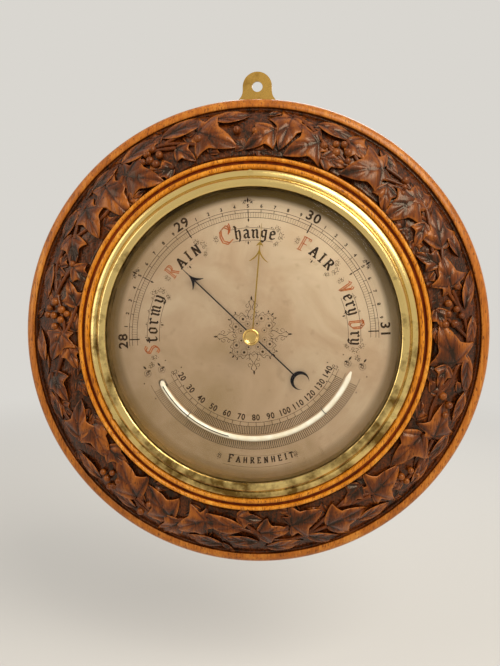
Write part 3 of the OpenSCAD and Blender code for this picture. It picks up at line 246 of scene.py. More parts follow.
# cast iron, japanned: thick black varnish over a cast skin
def makeJapanned():
    material, tree, shader, coords = startMaterial("ironCastJapanned", {
        "Roughness": 0.3, "Base Color": "17161a", "Coat Weight": 0.6})
    skin = addNode(tree, "ShaderNodeTexNoise", {"Vector": coords, "Scale": 700, "Detail": 4})
    bump = addNode(tree, "ShaderNodeBump", {"Strength": 0.3, "Distance": 0.0002, "Height": skin})
    setInputs(tree, shader, {"Normal": bump})
    return material


# brass, silvered: rubbed silver salts, warm with age, with painted shade that browns it towards the bottom
# and the left, an olive painted shadow at its edge that is strongest at the top, and a fine circular grain
def makeSilvered():
    material, tree, shader, coords = startMaterial("brassSilvered", {"Metallic": 0.7, "Roughness": 0.36})
    across, distance = fromAxis(tree, coords)
    cloud = addNode(tree, "ShaderNodeTexNoise", {
        "Vector": coords, "Scale": 22, "Detail": 5, "Roughness": 0.6, "Distortion": 0.6})
    stain = addNode(tree, "ShaderNodeTexNoise", {"Vector": coords, "Scale": 150, "Detail": 4})
    grain = addNode(tree, "ShaderNodeTexNoise", {"W": distance, "Scale": 3000, "Detail": 3},
                    noise_dimensions="1D")
    # the tone: painted shade darker towards the bottom and the left, with clouds and grain of the metal's
    # own
    toneAndShade = -0.06
    for part, share in ((across.outputs["Z"], 2.6), (across.outputs["X"], 2.0), (cloud, 1.0), (grain, 0.16)):
        toneAndShade = addNode(tree, "ShaderNodeMath", {0: part, 1: share, 2: toneAndShade},
                         operation="MULTIPLY_ADD")
    shade = addNode(tree, "ShaderNodeValToRGB", {"Fac": toneAndShade}, [
        (0.15, "987c58"), (0.5, "b8997a"), (0.85, "d6bb9c")])
    spots = addNode(tree, "ShaderNodeValToRGB", {"Fac": stain}, [
        (0.28, (0.55, 0.5, 0.4, 1)), (0.36, (1, 1, 1, 1))])
    spotted = addNode(tree, "ShaderNodeMixRGB", {"Fac": 0.25, "Color1": shade, "Color2": spots},
                      blend_type="MULTIPLY")
    # painted shadow of the sight ring: olive at the dial's edge, strongest at the top
    wobble = addNode(tree, "ShaderNodeMath", {0: cloud, 1: 0.004, 2: distance}, operation="MULTIPLY_ADD")
    edge = addNode(tree, "ShaderNodeMapRange", {"Value": wobble, "From Min": 0.0865, "From Max": 0.0895})
    upper = addNode(tree, "ShaderNodeMath", {0: across.outputs["Z"], 1: 4.0, 2: 0.65},
                    operation="MULTIPLY_ADD", use_clamp=True)
    olive = addNode(tree, "ShaderNodeMath", {0: edge, 1: upper}, operation="MULTIPLY")
    edgeShadowed = addNode(tree, "ShaderNodeMixRGB", {"Fac": olive, "Color1": spotted, "Color2": "6a5226"})
    rough = addNode(tree, "ShaderNodeMapRange", {
        "Value": cloud, "From Min": 0.3, "From Max": 0.7, "To Min": 0.42, "To Max": 0.3})
    bump = addNode(tree, "ShaderNodeBump", {"Strength": 0.12, "Distance": 0.00005, "Height": grain})
    setInputs(tree, shader, {"Base Color": edgeShadowed, "Roughness": rough, "Normal": bump})
    return material


# one shade that clouds into another
def makeClouded(name, inputs, scale, stops):
    material, tree, shader, coords = startMaterial(name, inputs)
    cloud = addNode(tree, "ShaderNodeTexNoise", {"Vector": coords, "Scale": scale, "Detail": 3})
    shade = addNode(tree, "ShaderNodeValToRGB", {"Fac": cloud}, stops)
    setInputs(tree, shader, {"Base Color": shade})
    return material


# glass, plate, ground and bevelled: clear, shiny on its outside and dull towards its edge; lamps
# shine straight through
def makeGlass():
    material, tree, shader, coords = startMaterial("glassPlateBevelled", {
        "Roughness": 0.0, "Base Color": "fafcfa", "Transmission Weight": 1.0, "IOR": 1.06,
        "Coat Roughness": 0.03, "Coat IOR": 1.5})
    side = addNode(tree, "ShaderNodeNewGeometry")
    outside = addNode(tree, "ShaderNodeMath", {0: 1.0, 1: side.outputs["Backfacing"]},
                      operation="SUBTRACT")
    flat = addNode(tree, "ShaderNodeMapRange", {
        "Value": fromAxis(tree, coords)[1], "From Min": 0.0855, "From Max": 0.0865,
        "To Min": 0.5, "To Max": 0.03})
    shine = addNode(tree, "ShaderNodeMath", {0: outside, 1: flat}, operation="MULTIPLY")
    smear = addNode(tree, "ShaderNodeTexNoise", {"Vector": coords, "Scale": 35, "Detail": 4})
    haze = addNode(tree, "ShaderNodeMapRange", {
        "Value": smear, "From Min": 0.5, "From Max": 0.85, "To Min": 0.0, "To Max": 0.03})
    setInputs(tree, shader, {"Coat Weight": shine, "Roughness": haze})
    path = addNode(tree, "ShaderNodeLightPath").outputs
    through = addNode(tree, "ShaderNodeMath", {0: path["Is Shadow Ray"], 1: path["Is Diffuse Ray"]},
                      operation="MAXIMUM")
    clear = addNode(tree, "ShaderNodeBsdfTransparent", {"Color": (0.97, 0.98, 0.97, 1)})
    mix = addNode(tree, "ShaderNodeMixShader", {0: through, 1: shader, 2: clear})
    setInputs(tree, tree.nodes["Material Output"], {"Surface": mix})
    return material


japanned = makeJapanned()
silvered = makeSilvered()
plateGlass = makeGlass()
# glass, thermometer tube: clear over white enamel, so it looks like cream porcelain
enamel = {"Roughness": 0.12, "Coat Weight": 1.0, "Coat Roughness": 0.03}
tubeGlass = makeClouded("glassTubeEnamelled", enamel, 120, [(0.35, "eeddc0"), (0.65, "faf0de")])
# engraver's wax, black, red and worn grey: matt, a little worn inside each line
matt = {"Roughness": 0.8, "Specular IOR Level": 0.05}
blackWax = makeClouded("waxBlack", matt, 900, [(0.5, "2a1604"), (0.72, "5a3e1a")])
redWax = makeClouded("waxRed", matt, 900, [(0.5, "a8501c"), (0.72, "c48650")])
greyWax = makeClouded("waxWorn", matt, 900, [(0.5, "4e381c"), (0.72, "7c6440")])
print("materials made")


def finishPiece(piece):
    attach(piece, "housing")


def tidyMesh(mesh):
    work = bmesh.new()
    work.from_mesh(mesh)
    bmesh.ops.remove_doubles(work, verts=work.verts, dist=1e-7)
    bmesh.ops.recalc_face_normals(work, faces=work.faces)
    work.to_mesh(mesh)
    work.free()


# relief says how high each point lies in the carving; the oak's colour follows it, with painted shade
# darkening the low places and wear paling the high edges
def setRelief(mesh, relief):
    mesh.attributes.new("relief", "FLOAT", "POINT").data.foreach_set("value", relief)


def makeMesh(name, points, faces, materials, relief=None, zones=None):
    mesh = bpy.data.meshes.new(name)
    mesh.from_pydata([place(*p) for p in points], [], faces)
    for material in materials:
        mesh.materials.append(material)
    if zones:
        mesh.polygons.foreach_set("material_index", zones)
    mesh.shade_smooth()
    if relief:
        setRelief(mesh, relief)
        tidyMesh(mesh)
    return mesh


def makePiece(name, points, faces, material, relief=None):
    mesh = makeMesh(name, points, faces, [material], relief)
    finishPiece(addObject(name, mesh))
    print(name, len(mesh.polygons))


# starts a node tree with a geometry input and the named inputs
def startTree(name, sockets):
    tree = bpy.data.node_groups.new(name, "GeometryNodeTree")
    tree.interface.new_socket("Geometry", in_out="INPUT", socket_type="NodeSocketGeometry")
    for label, kind in sockets.items():
        tree.interface.new_socket(label, in_out="INPUT", socket_type="NodeSocket" + kind)
    tree.interface.new_socket("Geometry", in_out="OUTPUT", socket_type="NodeSocketGeometry")
    return tree, addNode(tree, "NodeGroupInput").outputs


def endTree(tree, geometry, finish):
    real = addNode(tree, "GeometryNodeRealizeInstances", {"Geometry": geometry})
    painted = addNode(tree, "GeometryNodeSetMaterial", {"Geometry": real, "Material": finish})
    addNode(tree, "NodeGroupOutput", {"Geometry": painted})


# runs a tree on a source mesh and gives back a plain object with the result
def growPiece(name, tree, values, source=None):
    holder = addObject(name, source or bpy.data.meshes.new(name))
    modifier = holder.modifiers.new("grow", "NODES")
    modifier.node_group = tree
    for item in tree.interface.items_tree:
        if item.in_out == "INPUT" and item.name in values:
            modifier[item.identifier] = values[item.name]
    mesh = plainMesh(holder)
    holder.modifiers.clear()
    holder.data = mesh
    mesh.name = name
    return holder


oak = {
    "beadIn": 111.1,        # inner edge of the carved frieze
    "rimIn": 146.5,         # its outer edge
    "friezeIn": 33.4,       # height at the inner edge
    "friezeOut": 16.5,      # height at the outer edge
    "bow": 2.2,
    "groundDrop": 2.7,      # depth of the carver's ground below the frieze
    "groundEdge": 0.5,      # its depth beside the beads
    "rows": 46,             # over the ground
    "steps": 960,           # round the ring
    "matting": 0.34,        # depth of the punched ground
    "matted": (112, 145.4),
}


def friezePlace(angle, hundredths):
    return polar(oak["beadIn"] + (oak["rimIn"] - oak["beadIn"]) * hundredths / 100, angle)


def friezeShare(radius):
    return min(1.0, max(0.0, (radius - oak["beadIn"]) / (oak["rimIn"] - oak["beadIn"])))


def friezeHeight(radius):
    fall = oak["friezeIn"] - oak["friezeOut"]
    return oak["friezeIn"] - fall * friezeShare(radius) ** oak["bow"]


def groundHeight(radius):
    share = friezeShare(radius)
    edge = min(1.0, share / 0.06, (1 - share) / 0.05)
    return friezeHeight(radius) - oak["groundEdge"] - (oak["groundDrop"] - oak["groundEdge"]) * edge


def ellipseArc(centre, radii, sweep, count, zone):
    angles = [math.radians(sweep * i / count) for i in range(count + 1)]
    return [(centre[0] + radii[0] * math.cos(a), centre[1] + radii[1] * math.sin(a), zone) for a in angles]


# the turner's profile, from the bore round the back and over the front: radius, height and zone
back, rim, ground, bead, hollow = range(5)
profile = [(98.4, 0.0, back), (115, 0, back), (132, 0, back), (149, 0, back)]
profile += [(149.6, 2.4, rim), (150.5, 6, rim), (151.4, 10, rim)]
profile += ellipseArc((146.5, 13), (5.5, 4.5), 90, 12, rim)
profile += [(146.0, 17.2, rim), (145.7, 16.4, ground)]
for i in range(oak["rows"]):
    radius = 145.4 - (145.4 - 111.5) * i / (oak["rows"] - 1)
    profile.append((radius, groundHeight(radius), ground))
profile += [(111.2, 33.2, hollow), (111.12, 33.9, hollow)]
profile += ellipseArc((109.8, 34.6), (1.3, 1.4), 180, 9, bead)
profile += [(108.3, 33.9, hollow), (107.9, 33.3, hollow), (107.5, 33.1, hollow)]
profile += [(107.1, 33.3, hollow), (106.7, 34.0, hollow)]
profile += ellipseArc((104.85, 35), (1.65, 2), 180, 10, bead)
profile += [(103.2, 34.2, hollow), (98.4, 34.2, hollow)]

random.seed(11)
ringPoints, ringFaces, ringZones, ringRelief = [], [], [], []
size = len(profile)
for i in range(oak["steps"]):
    for radius, height, zone in profile:
        matted = zone == ground and oak["matted"][0] < radius < oak["matted"][1]
        pit = random.uniform(-1, 0.25) * oak["matting"] if matted else 0
        ringPoints.append((*polar(radius, 360 * i / oak["steps"]), height + pit))
        # the punched ground is set low, so painted shade darkens it, most in its pits
        ringRelief.append(0.4 + 0.7 * pit if zone == ground else 0.5)
for i in range(oak["steps"]):
    here, there = i * size, (i + 1) % oak["steps"] * size
    for j in range(size):
        k = (j + 1) % size
        ringFaces.append((here + j, here + k, there + k, there + j))
        leavesBead = profile[j][2] == bead and profile[k][2] != bead
        ringZones.append(hollow if leavesBead else profile[k][2])
oakRing = addObject("oakRing", makeMesh(
    "oakRing", ringPoints, ringFaces, (backOak, rimOak, carvedOak, turnedOak, hollowOak),
    ringRelief, ringZones))

# a pocket in the back for the hanging plate, as wide as its flared neck at the rim
pocket = {"foot": 44.4, "neck": 26.2, "low": 124.8, "shoulder": 137.2, "top": 154.6, "end": 158, "deep": 2.0}
pocketHalf = [(pocket["foot"] / 2, pocket["low"]), (pocket["foot"] / 2, pocket["shoulder"]),
              (pocket["neck"] / 2, pocket["top"]), (pocket["neck"] / 2, pocket["end"])]
pocketEdge = pocketHalf + [(-x, y) for x, y in reversed(pocketHalf)]
corners = len(pocketEdge)
cutterMesh = bpy.data.meshes.new("pocketCutter")
cutterMesh.from_pydata(
    [place(x, y, z) for z in (-1, pocket["deep"]) for x, y in pocketEdge], [],
    [(i, (i + 1) % corners, corners + (i + 1) % corners, corners + i) for i in range(corners)]
    + [tuple(reversed(range(corners))), tuple(range(corners, 2 * corners))])
tidyMesh(cutterMesh)
cutter = addObject("pocketCutter", cutterMesh)
cut = oakRing.modifiers.new("pocket", "BOOLEAN")
cut.object = cutter
cut.operation = "DIFFERENCE"
cut.solver = "EXACT"
cutMesh = plainMesh(oakRing)
oakRing.modifiers.clear()
oakRing.data = cutMesh
bpy.data.objects.remove(cutter)
finishPiece(oakRing)
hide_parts("oak_surround")
print("oak ring made", len(cutMesh.polygons))

# half outlines from base to tip on the right side: x, y, place on the midrib, bulge of the edge before
leafShapes = {
    "ivy": {
        "keys": [(0, 0.05, 0.05, 0), (0.33, -0.08, 0.09, 0.22), (0.25, 0.13, 0.17, -0.10),
                 (0.58, 0.30, 0.27, 0.10), (0.25, 0.46, 0.42, -0.16), (0, 1, 0.93, 0.13)],
        "veins": [(0, 0.05, 0, 1), (0, 0.05, 0.33, -0.08), (0, 0.08, 0.58, 0.30), (0, 0.3, 0.2, 0.62)],
    },
    "trefoil": {
        "keys": [(0, 0, 0.02, 0), (0.19, 0.03, 0.08, 0.25), (0.47, 0.36, 0.30, 0.10),
                 (0.21, 0.47, 0.44, -0.14), (0, 1, 0.93, 0.15)],
        "veins": [(0, 0, 0, 1), (0, 0.03, 0.47, 0.36), (0, 0.3, 0.18, 0.65)],
    },
    "blade": {
        "keys": [(0, 0, 0.03, 0), (0.16, 0.36, 0.36, 0.14), (0, 1, 0.95, 0.16)],
        "veins": [(0, 0, 0, 1), (0, 0.2, 0.12, 0.5), (0, 0.45, 0.09, 0.75)],
    },
}
leafLook = {
    "dome": 1.4,            # radius of its round for each millimetre of length
    "middle": 0.42,         # share of its length that lies before its place
    "cushion": 0.9,         # rise of the wood between the veins
    "cushionWide": 1.7,     # distance from a vein over which it rises
    "groove": 0.55,         # depth of the carved veins
    "grooveWide": 0.4,
    "wave": 0.9,            # rise of slow waves in the top
    "waveScale": 2.6,
    "inner": 111.7,         # a leaf keeps between these radii
    "outer": 146.1,
    "rows": 8,              # from midrib to edge
    "points": 44,           # along each half of the edge
    "bends": 24,            # along each curve of the half outline
}


def halfOutline(shape):
    keys = leafShapes[shape]["keys"]
    dense = []
    for (x0, y0, q0, _), (x1, y1, q1, bulge) in zip(keys, keys[1:]):
        dx, dy = x1 - x0, y1 - y0
        cx, cy = (x0 + x1) / 2 + bulge * dy, (y0 + y1) / 2 - bulge * dx
        for i in range(leafLook["bends"]):
            t = i / leafLook["bends"]
            a, b, c = (1 - t) ** 2, 2 * t * (1 - t), t * t
            dense.append((a * x0 + b * cx + c * x1, a * y0 + b * cy + c * y1, q0 + (q1 - q0) * t))
    dense.append(keys[-1][:3])
    lengths = [0]
    for p, q in zip(dense, dense[1:]):
        lengths.append(lengths[-1] + math.hypot(q[0] - p[0], q[1] - p[1]))
    count, result, k = leafLook["points"], [], 0
    for i in range(count + 1):
        want = lengths[-1] * i / count
        while k < len(lengths) - 2 and lengths[k + 1] < want:
            k += 1
        share = (want - lengths[k]) / max(1e-9, lengths[k + 1] - lengths[k])
        share = min(1, max(0, share))
        result.append(tuple(a + (b - a) * share for a, b in zip(dense[k], dense[k + 1])))
    return result


def veinDistance(x, y, veins):
    best = 9
    for x0, y0, x1, y1 in veins:
        dx, dy = x1 - x0, y1 - y0
        t = min(1, max(0, ((x - x0) * dx + (y - y0) * dy) / (dx * dx + dy * dy)))
        best = min(best, math.hypot(x - x0 - t * dx, y - y0 - t * dy) + 0.02 * t)
    return best


# a leaf's top is a ball's round that leans with the frieze; gives its height over a point
def domeHeight(centre, rise, length, x, y):
    radius = math.hypot(*centre)
    fall = oak["friezeIn"] - oak["friezeOut"]
    slope = fall * oak["bow"] * friezeShare(radius) ** (oak["bow"] - 1) / (oak["rimIn"] - oak["beadIn"])
    lean = math.atan(slope)
    ball = leafLook["dome"] * length
    inward = 1 - ball * math.sin(lean) / radius
    over = ball ** 2 - (x - centre[0] * inward) ** 2 - (y - centre[1] * inward) ** 2
    return friezeHeight(radius) + rise - ball * math.cos(lean) + math.sqrt(max(0, over))


# adds one leaf to the lists: place on the frieze, direction of its tip, length, kind and rise
def addLeaf(lists, leaf, curlMost=0.1):
    angle, hundredths, direction, length, shape, rise = leaf
    points, faces, relief = lists
    centre = friezePlace(angle, hundredths)
    half = halfOutline(shape)
    edge = half + [(-x, y, q) for x, y, q in half[-2:0:-1]]
    veins = leafShapes[shape]["veins"]
    curl = random.uniform(-curlMost, curlMost)
    phase = random.uniform(0, 50)
    sa, ca = polar(1, direction)
    total, rowCount = len(edge), leafLook["rows"]
    base = len(points)

    def setDown(x, y, lift, sunk=False):
        lx, ly = (x + curl * (y - 0.3) ** 2) * length, (y - leafLook["middle"]) * length
        wx = centre[0] + lx * ca + ly * sa
        wy = centre[1] - lx * sa + ly * ca
        out = math.hypot(wx, wy)
        keep = min(leafLook["outer"], max(leafLook["inner"], out)) / out
        wx, wy = wx * keep, wy * keep
        foot = groundHeight(out * keep) - 0.5
        top = domeHeight(centre, rise, length, wx, wy) + lift
        points.append((wx, wy, foot if sunk else max(top, foot + 0.8)))

    for x1, y1, q in edge:
        for j in range(rowCount + 1):
            s = j / rowCount
            x, y = x1 * s, q + (y1 - q) * s
            side = veinDistance(abs(x), y, veins) * length
            cushion = 1 - math.exp(-(side / leafLook["cushionWide"]) ** 2)
            groove = math.exp(-(side / leafLook["grooveWide"]) ** 2)
            wave = noise.noise(Vector((
                x * leafLook["waveScale"] + phase, y * leafLook["waveScale"], phase * 0.3)))
            lift = leafLook["cushion"] * (cushion - 0.6) - leafLook["groove"] * groove
            setDown(x, y, lift + leafLook["wave"] * wave * (1 - 0.5 * s) - 0.3 * s ** 7)
            # paler where the top is high and at the edge as wear; darker in the carved veins as painted
            # shade
            worn = 0.42 + 0.34 * cushion * s - 0.36 * groove + 0.45 * wave + 0.28 * s ** 8
            relief.append(max(0.04, min(1, worn)))
        # the upright edge below, which ends in the ground; it is set dark as painted shade
        for s, lift, sunk, dark in ((0.99, -1.1, False, 0.06), (0.94, 0, True, 0.0)):
            setDown(x1 * s, q + (y1 - q) * s, lift, sunk)
            relief.append(dark)
    stride = rowCount + 3
    for i in range(total):
        here, there = base + i * stride, base + (i + 1) % total * stride
        for j in range(stride - 1):
            faces.append((here + j, there + j, there + j + 1, here + j + 1))
    for i in range(total // 2):
        ends = (i, i + 1, (total - i - 1) % total, (total - i) % total)
        ring = list(dict.fromkeys(base + n * stride + stride - 1 for n in ends))
        if len(ring) > 2:
            faces.append(tuple(ring))


# angle clockwise from the top, way over the frieze in hundredths, direction of the tip, length,
# kind and rise over the frieze; the carved solid has the same list
mainLeaves = [
    (348, 45, 112, 30, "ivy", 0.9), (339, 31, 122, 16, "trefoil", 0.5), (324, 31, 98, 28, "ivy", 0.9),
    (314, 34, 140, 30, "ivy", 0.4), (305, 45, 150, 24, "ivy", 0.8), (295, 48, 172, 22, "trefoil", 0.4),
    (289, 14, 130, 17, "trefoil", 0.7), (267, 42, 205, 22, "ivy", 0.8), (263, 17, 160, 17, "trefoil", 0.4),
    (255, 56, 150, 22, "trefoil", 0.8), (243, 42, 5, 26, "trefoil", 0.9), (236, 25, 152, 28, "trefoil", 0.5),
    (220, 36, 338, 31, "trefoil", 0.9), (208, 39, 330, 29, "trefoil", 0.6), (197, 48, 250, 25, "ivy", 0.6),
    (188, 34, 285, 34, "blade", 1), (2, 36, 236, 23, "trefoil", 1), (9, 56, 200, 26, "ivy", 0.5),
    (15, 31, 250, 26, "ivy", 1), (21, 79, 112, 28, "blade", 0.5), (29, 65, 130, 22, "trefoil", 0.3),
    (34, 39, 262, 30, "ivy", 1), (43, 22, 190, 18, "trefoil", 0.7), (49, 34, 240, 28, "ivy", 0.9),
    (50, 70, 335, 20, "trefoil", 0.4), (58, 31, 205, 16, "trefoil", 0.7), (60, 62, 350, 27, "trefoil", 0.6),
    (66, 22, 295, 17, "trefoil", 0.8), (72, 45, 340, 24, "ivy", 0.8), (78, 76, 10, 26, "blade", 0.5),
    (93, 34, 335, 30, "ivy", 0.9), (101, 28, 205, 15, "trefoil", 1), (99, 73, 178, 27, "blade", 0.7),
    (115, 53, 18, 25, "ivy", 0.9), (125, 28, 225, 29, "trefoil", 0.7), (138, 39, 42, 27, "ivy", 0.9),
    (153, 56, 62, 29, "trefoil", 0.7), (164, 31, 62, 25, "ivy", 0.9), (174, 45, 82, 22, "trefoil", 0.6),
    (161, 79, 100, 26, "blade", 0.5), (120, 79, 214, 24, "blade", 0.4), (203, 76, 242, 22, "trefoil", 0.4),
    (285, 76, 192, 24, "blade", 0.6), (182, 65, 275, 24, "blade", 0.8), (147, 22, 215, 18, "trefoil", 0.4),
    (37, 79, 150, 22, "blade", 0.3), (129, 76, 30, 22, "blade", 0.4), (340, 79, 68, 34, "blade", 0.8),
    (327, 79, 56, 32, "blade", 0.7), (353, 79, 84, 26, "blade", 0.6), (88, 76, 186, 22, "blade", 0.4),
    (108, 79, 200, 22, "blade", 0.4), (65, 79, 334, 22, "blade", 0.3), (300, 79, 28, 24, "blade", 0.4),
    (315, 79, 47, 25, "blade", 0.5), (249, 76, 338, 22, "blade", 0.4), (230, 79, 318, 24, "blade", 0.4),
    (217, 76, 312, 22, "blade", 0.3), (228, 17, 130, 19, "trefoil", 0.3), (172, 79, 80, 26, "blade", 0.4),
    (192, 79, 285, 26, "blade", 0.4), (282, 19, 340, 18, "trefoil", 0.4), (24, 22, 108, 17, "trefoil", 0.4),
    (84, 17, 150, 15, "trefoil", 0.3), (146, 76, 60, 24, "blade", 0.4), (266, 79, 350, 24, "blade", 0.4),
    (331, 17, 250, 16, "trefoil", 0.3), (181, 17, 98, 17, "trefoil", 0.4),
]
berrySpots = [
    (329, 62), (331, 65), (332, 48), (329, 48), (330, 36), (327, 53), (277, 62), (279, 51),
    (277, 36), (275, 51), (274, 36), (276, 25), (275, 65), (272, 48), (227, 62), (225, 65),
    (225, 48), (223, 76), (222, 68), (222, 51), (20, 42), (23, 53), (25, 59), (24, 39),
    (27, 48), (28, 34), (44, 70), (45, 59), (46, 48), (80, 34), (82, 48), (83, 31),
    (84, 56), (86, 25), (86, 42), (107, 39), (109, 56), (112, 56), (133, 53), (130, 59),
    (133, 68), (130, 76), (355, 51), (0, 48), (344, 48), (61, 48), (76, 56), (212, 76),
    (291, 36), (211, 51),
]
bareSpots = [polar(128, 112), polar(130, 358), polar(124, 39), polar(129, 63), polar(113, 294)]
berryPlaces = [friezePlace(*spot) for spot in berrySpots]
leafCentres = [friezePlace(*leaf[:2]) for leaf in mainLeaves]
random.seed(5)
leafLists = ([], [], [])
for leaf in mainLeaves:
    addLeaf(leafLists, leaf)

# smaller leaves fill what the large ones leave, lower and half hidden
filler = {
    "count": 58, "tries": 4000, "rows": (10, 26, 58, 74, 86), "long": (11, 16), "rise": (-1.3, -0.5),
    "leafRoom": 6.5, "bareRoom": 9, "berryRoom": 3.5, "curl": 0.25,
}
underLists = ([], [], [])
fillerCentres = []


def isNear(centre, others, room):
    return min(math.dist(centre, other) for other in others) < room


for attempt in range(filler["tries"]):
    angle, hundredths = random.uniform(0, 360), random.choice(filler["rows"])
    centre = friezePlace(angle, hundredths)
    if (isNear(centre, leafCentres + fillerCentres, filler["leafRoom"])
            or isNear(centre, bareSpots, filler["bareRoom"])
            or isNear(centre, berryPlaces, filler["berryRoom"])):
        continue
    tip = angle + random.choice((-1, 1)) * random.uniform(50, 120)
    kind = "blade" if hundredths > 70 and random.random() < 0.6 else "trefoil"
    small = (angle, hundredths, tip, random.uniform(*filler["long"]), kind, random.uniform(*filler["rise"]))
    addLeaf(underLists, small, filler["curl"])
    fillerCentres.append(centre)
    if len(fillerCentres) == filler["count"]:
        break
for name, (points, faces, relief) in (("ivyLeaves", leafLists), ("ivyUndergrowth", underLists)):
    makePiece(name, points, faces, carvedOak, relief)

# stems: two vines climb from the bottom, with a twig to each large leaf that is not a blade
vine = {
    "radius": 128, "swing": 7, "waves": 9, "thickness": 1.15, "sink": 2.0, "relief": 0.45,
    "twigInner": 113.5, "twigOuter": 143.5, "twigSink": 1.5, "twigBend": 0.3, "twigBack": 9,
}
stemPoints, stemEdges = [], []


def vinePoint(angle):
    return polar(vine["radius"] + vine["swing"] * math.sin(math.radians(angle * vine["waves"])), angle)


def addStem(line, sink):
    for n, (x, y) in enumerate(line):
        if n:
            stemEdges.append((len(stemPoints) - 1, len(stemPoints)))
        stemPoints.append(place(x, y, friezeHeight(math.hypot(x, y)) - sink))


for start, end in ((183, 352), (177, 8)):
    addStem([vinePoint(start + (end - start) * i / 90) for i in range(91)], vine["sink"])
for (_, _, direction, length, shape, _), centre in zip(mainLeaves, leafCentres):
    if shape == "blade":
        continue
    sx, sy = polar(leafLook["middle"] * length, direction)
    foot = (centre[0] - sx, centre[1] - sy)
    angle = math.degrees(math.atan2(*foot))
    root = vinePoint(angle + math.copysign(vine["twigBack"], angle))
    bend = vine["twigBend"]
    middle = ((root[0] + foot[0]) / 2 - sx * bend, (root[1] + foot[1]) / 2 - sy * bend)
    twig = []
    for i in range(9):
        t = i / 8
        x, y = ((1 - t) ** 2 * a + 2 * t * (1 - t) * b + t * t * c for a, b, c in zip(root, middle, foot))
        radius = max(vine["twigInner"], min(vine["twigOuter"], math.hypot(x, y)))
        twig.append(polar(radius, math.degrees(math.atan2(x, y))))
    addStem(twig, vine["twigSink"])
stemMesh = bpy.data.meshes.new("stemLines")
stemMesh.from_pydata(stemPoints, stemEdges, [])

stemTree, given = startTree("carvedStems", {"Thickness": "Float", "Finish": "Material"})
lines = addNode(stemTree, "GeometryNodeMeshToCurve", {"Mesh": given["Geometry"]})
section = addNode(stemTree, "GeometryNodeCurvePrimitiveCircle", {
    "Resolution": 10, "Radius": given["Thickness"]})
swept = addNode(stemTree, "GeometryNodeCurveToMesh", {
    "Curve": lines, "Profile Curve": section, "Fill Caps": True})
smooth = addNode(stemTree, "GeometryNodeSetShadeSmooth", {"Geometry": swept})
endTree(stemTree, smooth, given["Finish"])

# berries: little turned balls of several sizes
berry = {"radius": 2.35, "rise": -0.7, "relief": 0.64, "smallest": 0.82, "largest": 1.12}
berryMesh = bpy.data.meshes.new("berryPoints")
berryMesh.from_pydata([
    place(x, y, friezeHeight(math.hypot(x, y)) + berry["rise"]) for x, y in berryPlaces], [], [])
berryTree, given = startTree("carvedBerries", {"Radius": "Float", "Finish": "Material"})
spots = addNode(berryTree, "GeometryNodeMeshToPoints", {"Mesh": given["Geometry"], "Radius": 0.001})
ball = addNode(berryTree, "GeometryNodeMeshUVSphere", {
    "Segments": 18, "Rings": 11, "Radius": given["Radius"]})
# 2 and 3 are the least and the most of a plain number
spread = addNode(berryTree, "FunctionNodeRandomValue", {
    2: berry["smallest"], 3: berry["largest"], "Seed": 3})
many = addNode(berryTree, "GeometryNodeInstanceOnPoints", {
    "Points": spots, "Instance": ball, "Scale": spread.outputs[1]})
soft = addNode(berryTree, "GeometryNodeSetShadeSmooth", {"Geometry": many})
endTree(berryTree, soft, given["Finish"])

for name, tree, source, values, relief in (
    ("ivyStems", stemTree, stemMesh, {"Thickness": vine["thickness"] * 0.001}, vine["relief"]),
    ("ivyBerries", berryTree, berryMesh, {"Radius": berry["radius"] * 0.001}, berry["relief"]),
):
    piece = growPiece(name, tree, {"Finish": carvedOak, **values}, source)
    setRelief(piece.data, [relief] * len(piece.data.vertices))
    finishPiece(piece)
print("carving made")


# engraving: flat wax-filled lines just over the silvering
def dialPlace(x, y, lift=dial["wax"]):
    angle = math.radians(dial["turn"])
    return (x * math.cos(angle) - y * math.sin(angle), x * math.sin(angle) + y * math.cos(angle),
            dial["face"] + lift)


def engrave(name, shapes, material):
    points, faces = [], []
    for shape in shapes:
        faces.append(tuple(range(len(points), len(points) + len(shape))))
        points += [dialPlace(x, y) for x, y in shape]
    makePiece(name, points, faces, material)


def arcBand(radius, width, start, end, step=2.0):
    count = max(2, int(abs(end - start) / step))
    shapes = []
    for i in range(count):
        a, b = start + (end - start) * i / count, start + (end - start) * (i + 1) / count
        low, high = radius - width / 2, radius + width / 2
        shapes.append([polar(low, a), polar(low, b), polar(high, b), polar(high, a)])
    return shapes


tickTree, given = startTree("scaleTicks", {
    "Count": "Int", "Start": "Float", "Step": "Float", "Inner": "Float", "Outer": "Float",
    "Width": "Float", "Finish": "Material"})
dots = addNode(tickTree, "GeometryNodeMeshLine", {"Count": given["Count"], "Offset": (0, 0, 0)})
number = addNode(tickTree, "GeometryNodeInputIndex")
turnBy = addNode(tickTree, "ShaderNodeMath", {0: number, 1: given["Step"], 2: given["Start"]},
                 operation="MULTIPLY_ADD")
spin = addNode(tickTree, "ShaderNodeCombineXYZ", {"Y": turnBy})
tall = addNode(tickTree, "ShaderNodeMath", {0: given["Outer"], 1: given["Inner"]}, operation="SUBTRACT")
total = addNode(tickTree, "ShaderNodeMath", {0: given["Outer"], 1: given["Inner"]}, operation="ADD")
middle = addNode(tickTree, "ShaderNodeMath", {0: total, 1: 0.5}, operation="MULTIPLY")
plate = addNode(tickTree, "GeometryNodeMeshGrid", {
    "Size X": given["Width"], "Size Y": tall, "Vertices X": 2, "Vertices Y": 2})
away = addNode(tickTree, "ShaderNodeCombineXYZ", {"Z": middle})
stand = addNode(tickTree, "GeometryNodeTransform", {
    "Geometry": plate, "Translation": away, "Rotation": (math.radians(90), 0, 0)})
around = addNode(tickTree, "GeometryNodeInstanceOnPoints", {
    "Points": dots, "Instance": stand, "Rotation": spin})
endTree(tickTree, around, given["Finish"])


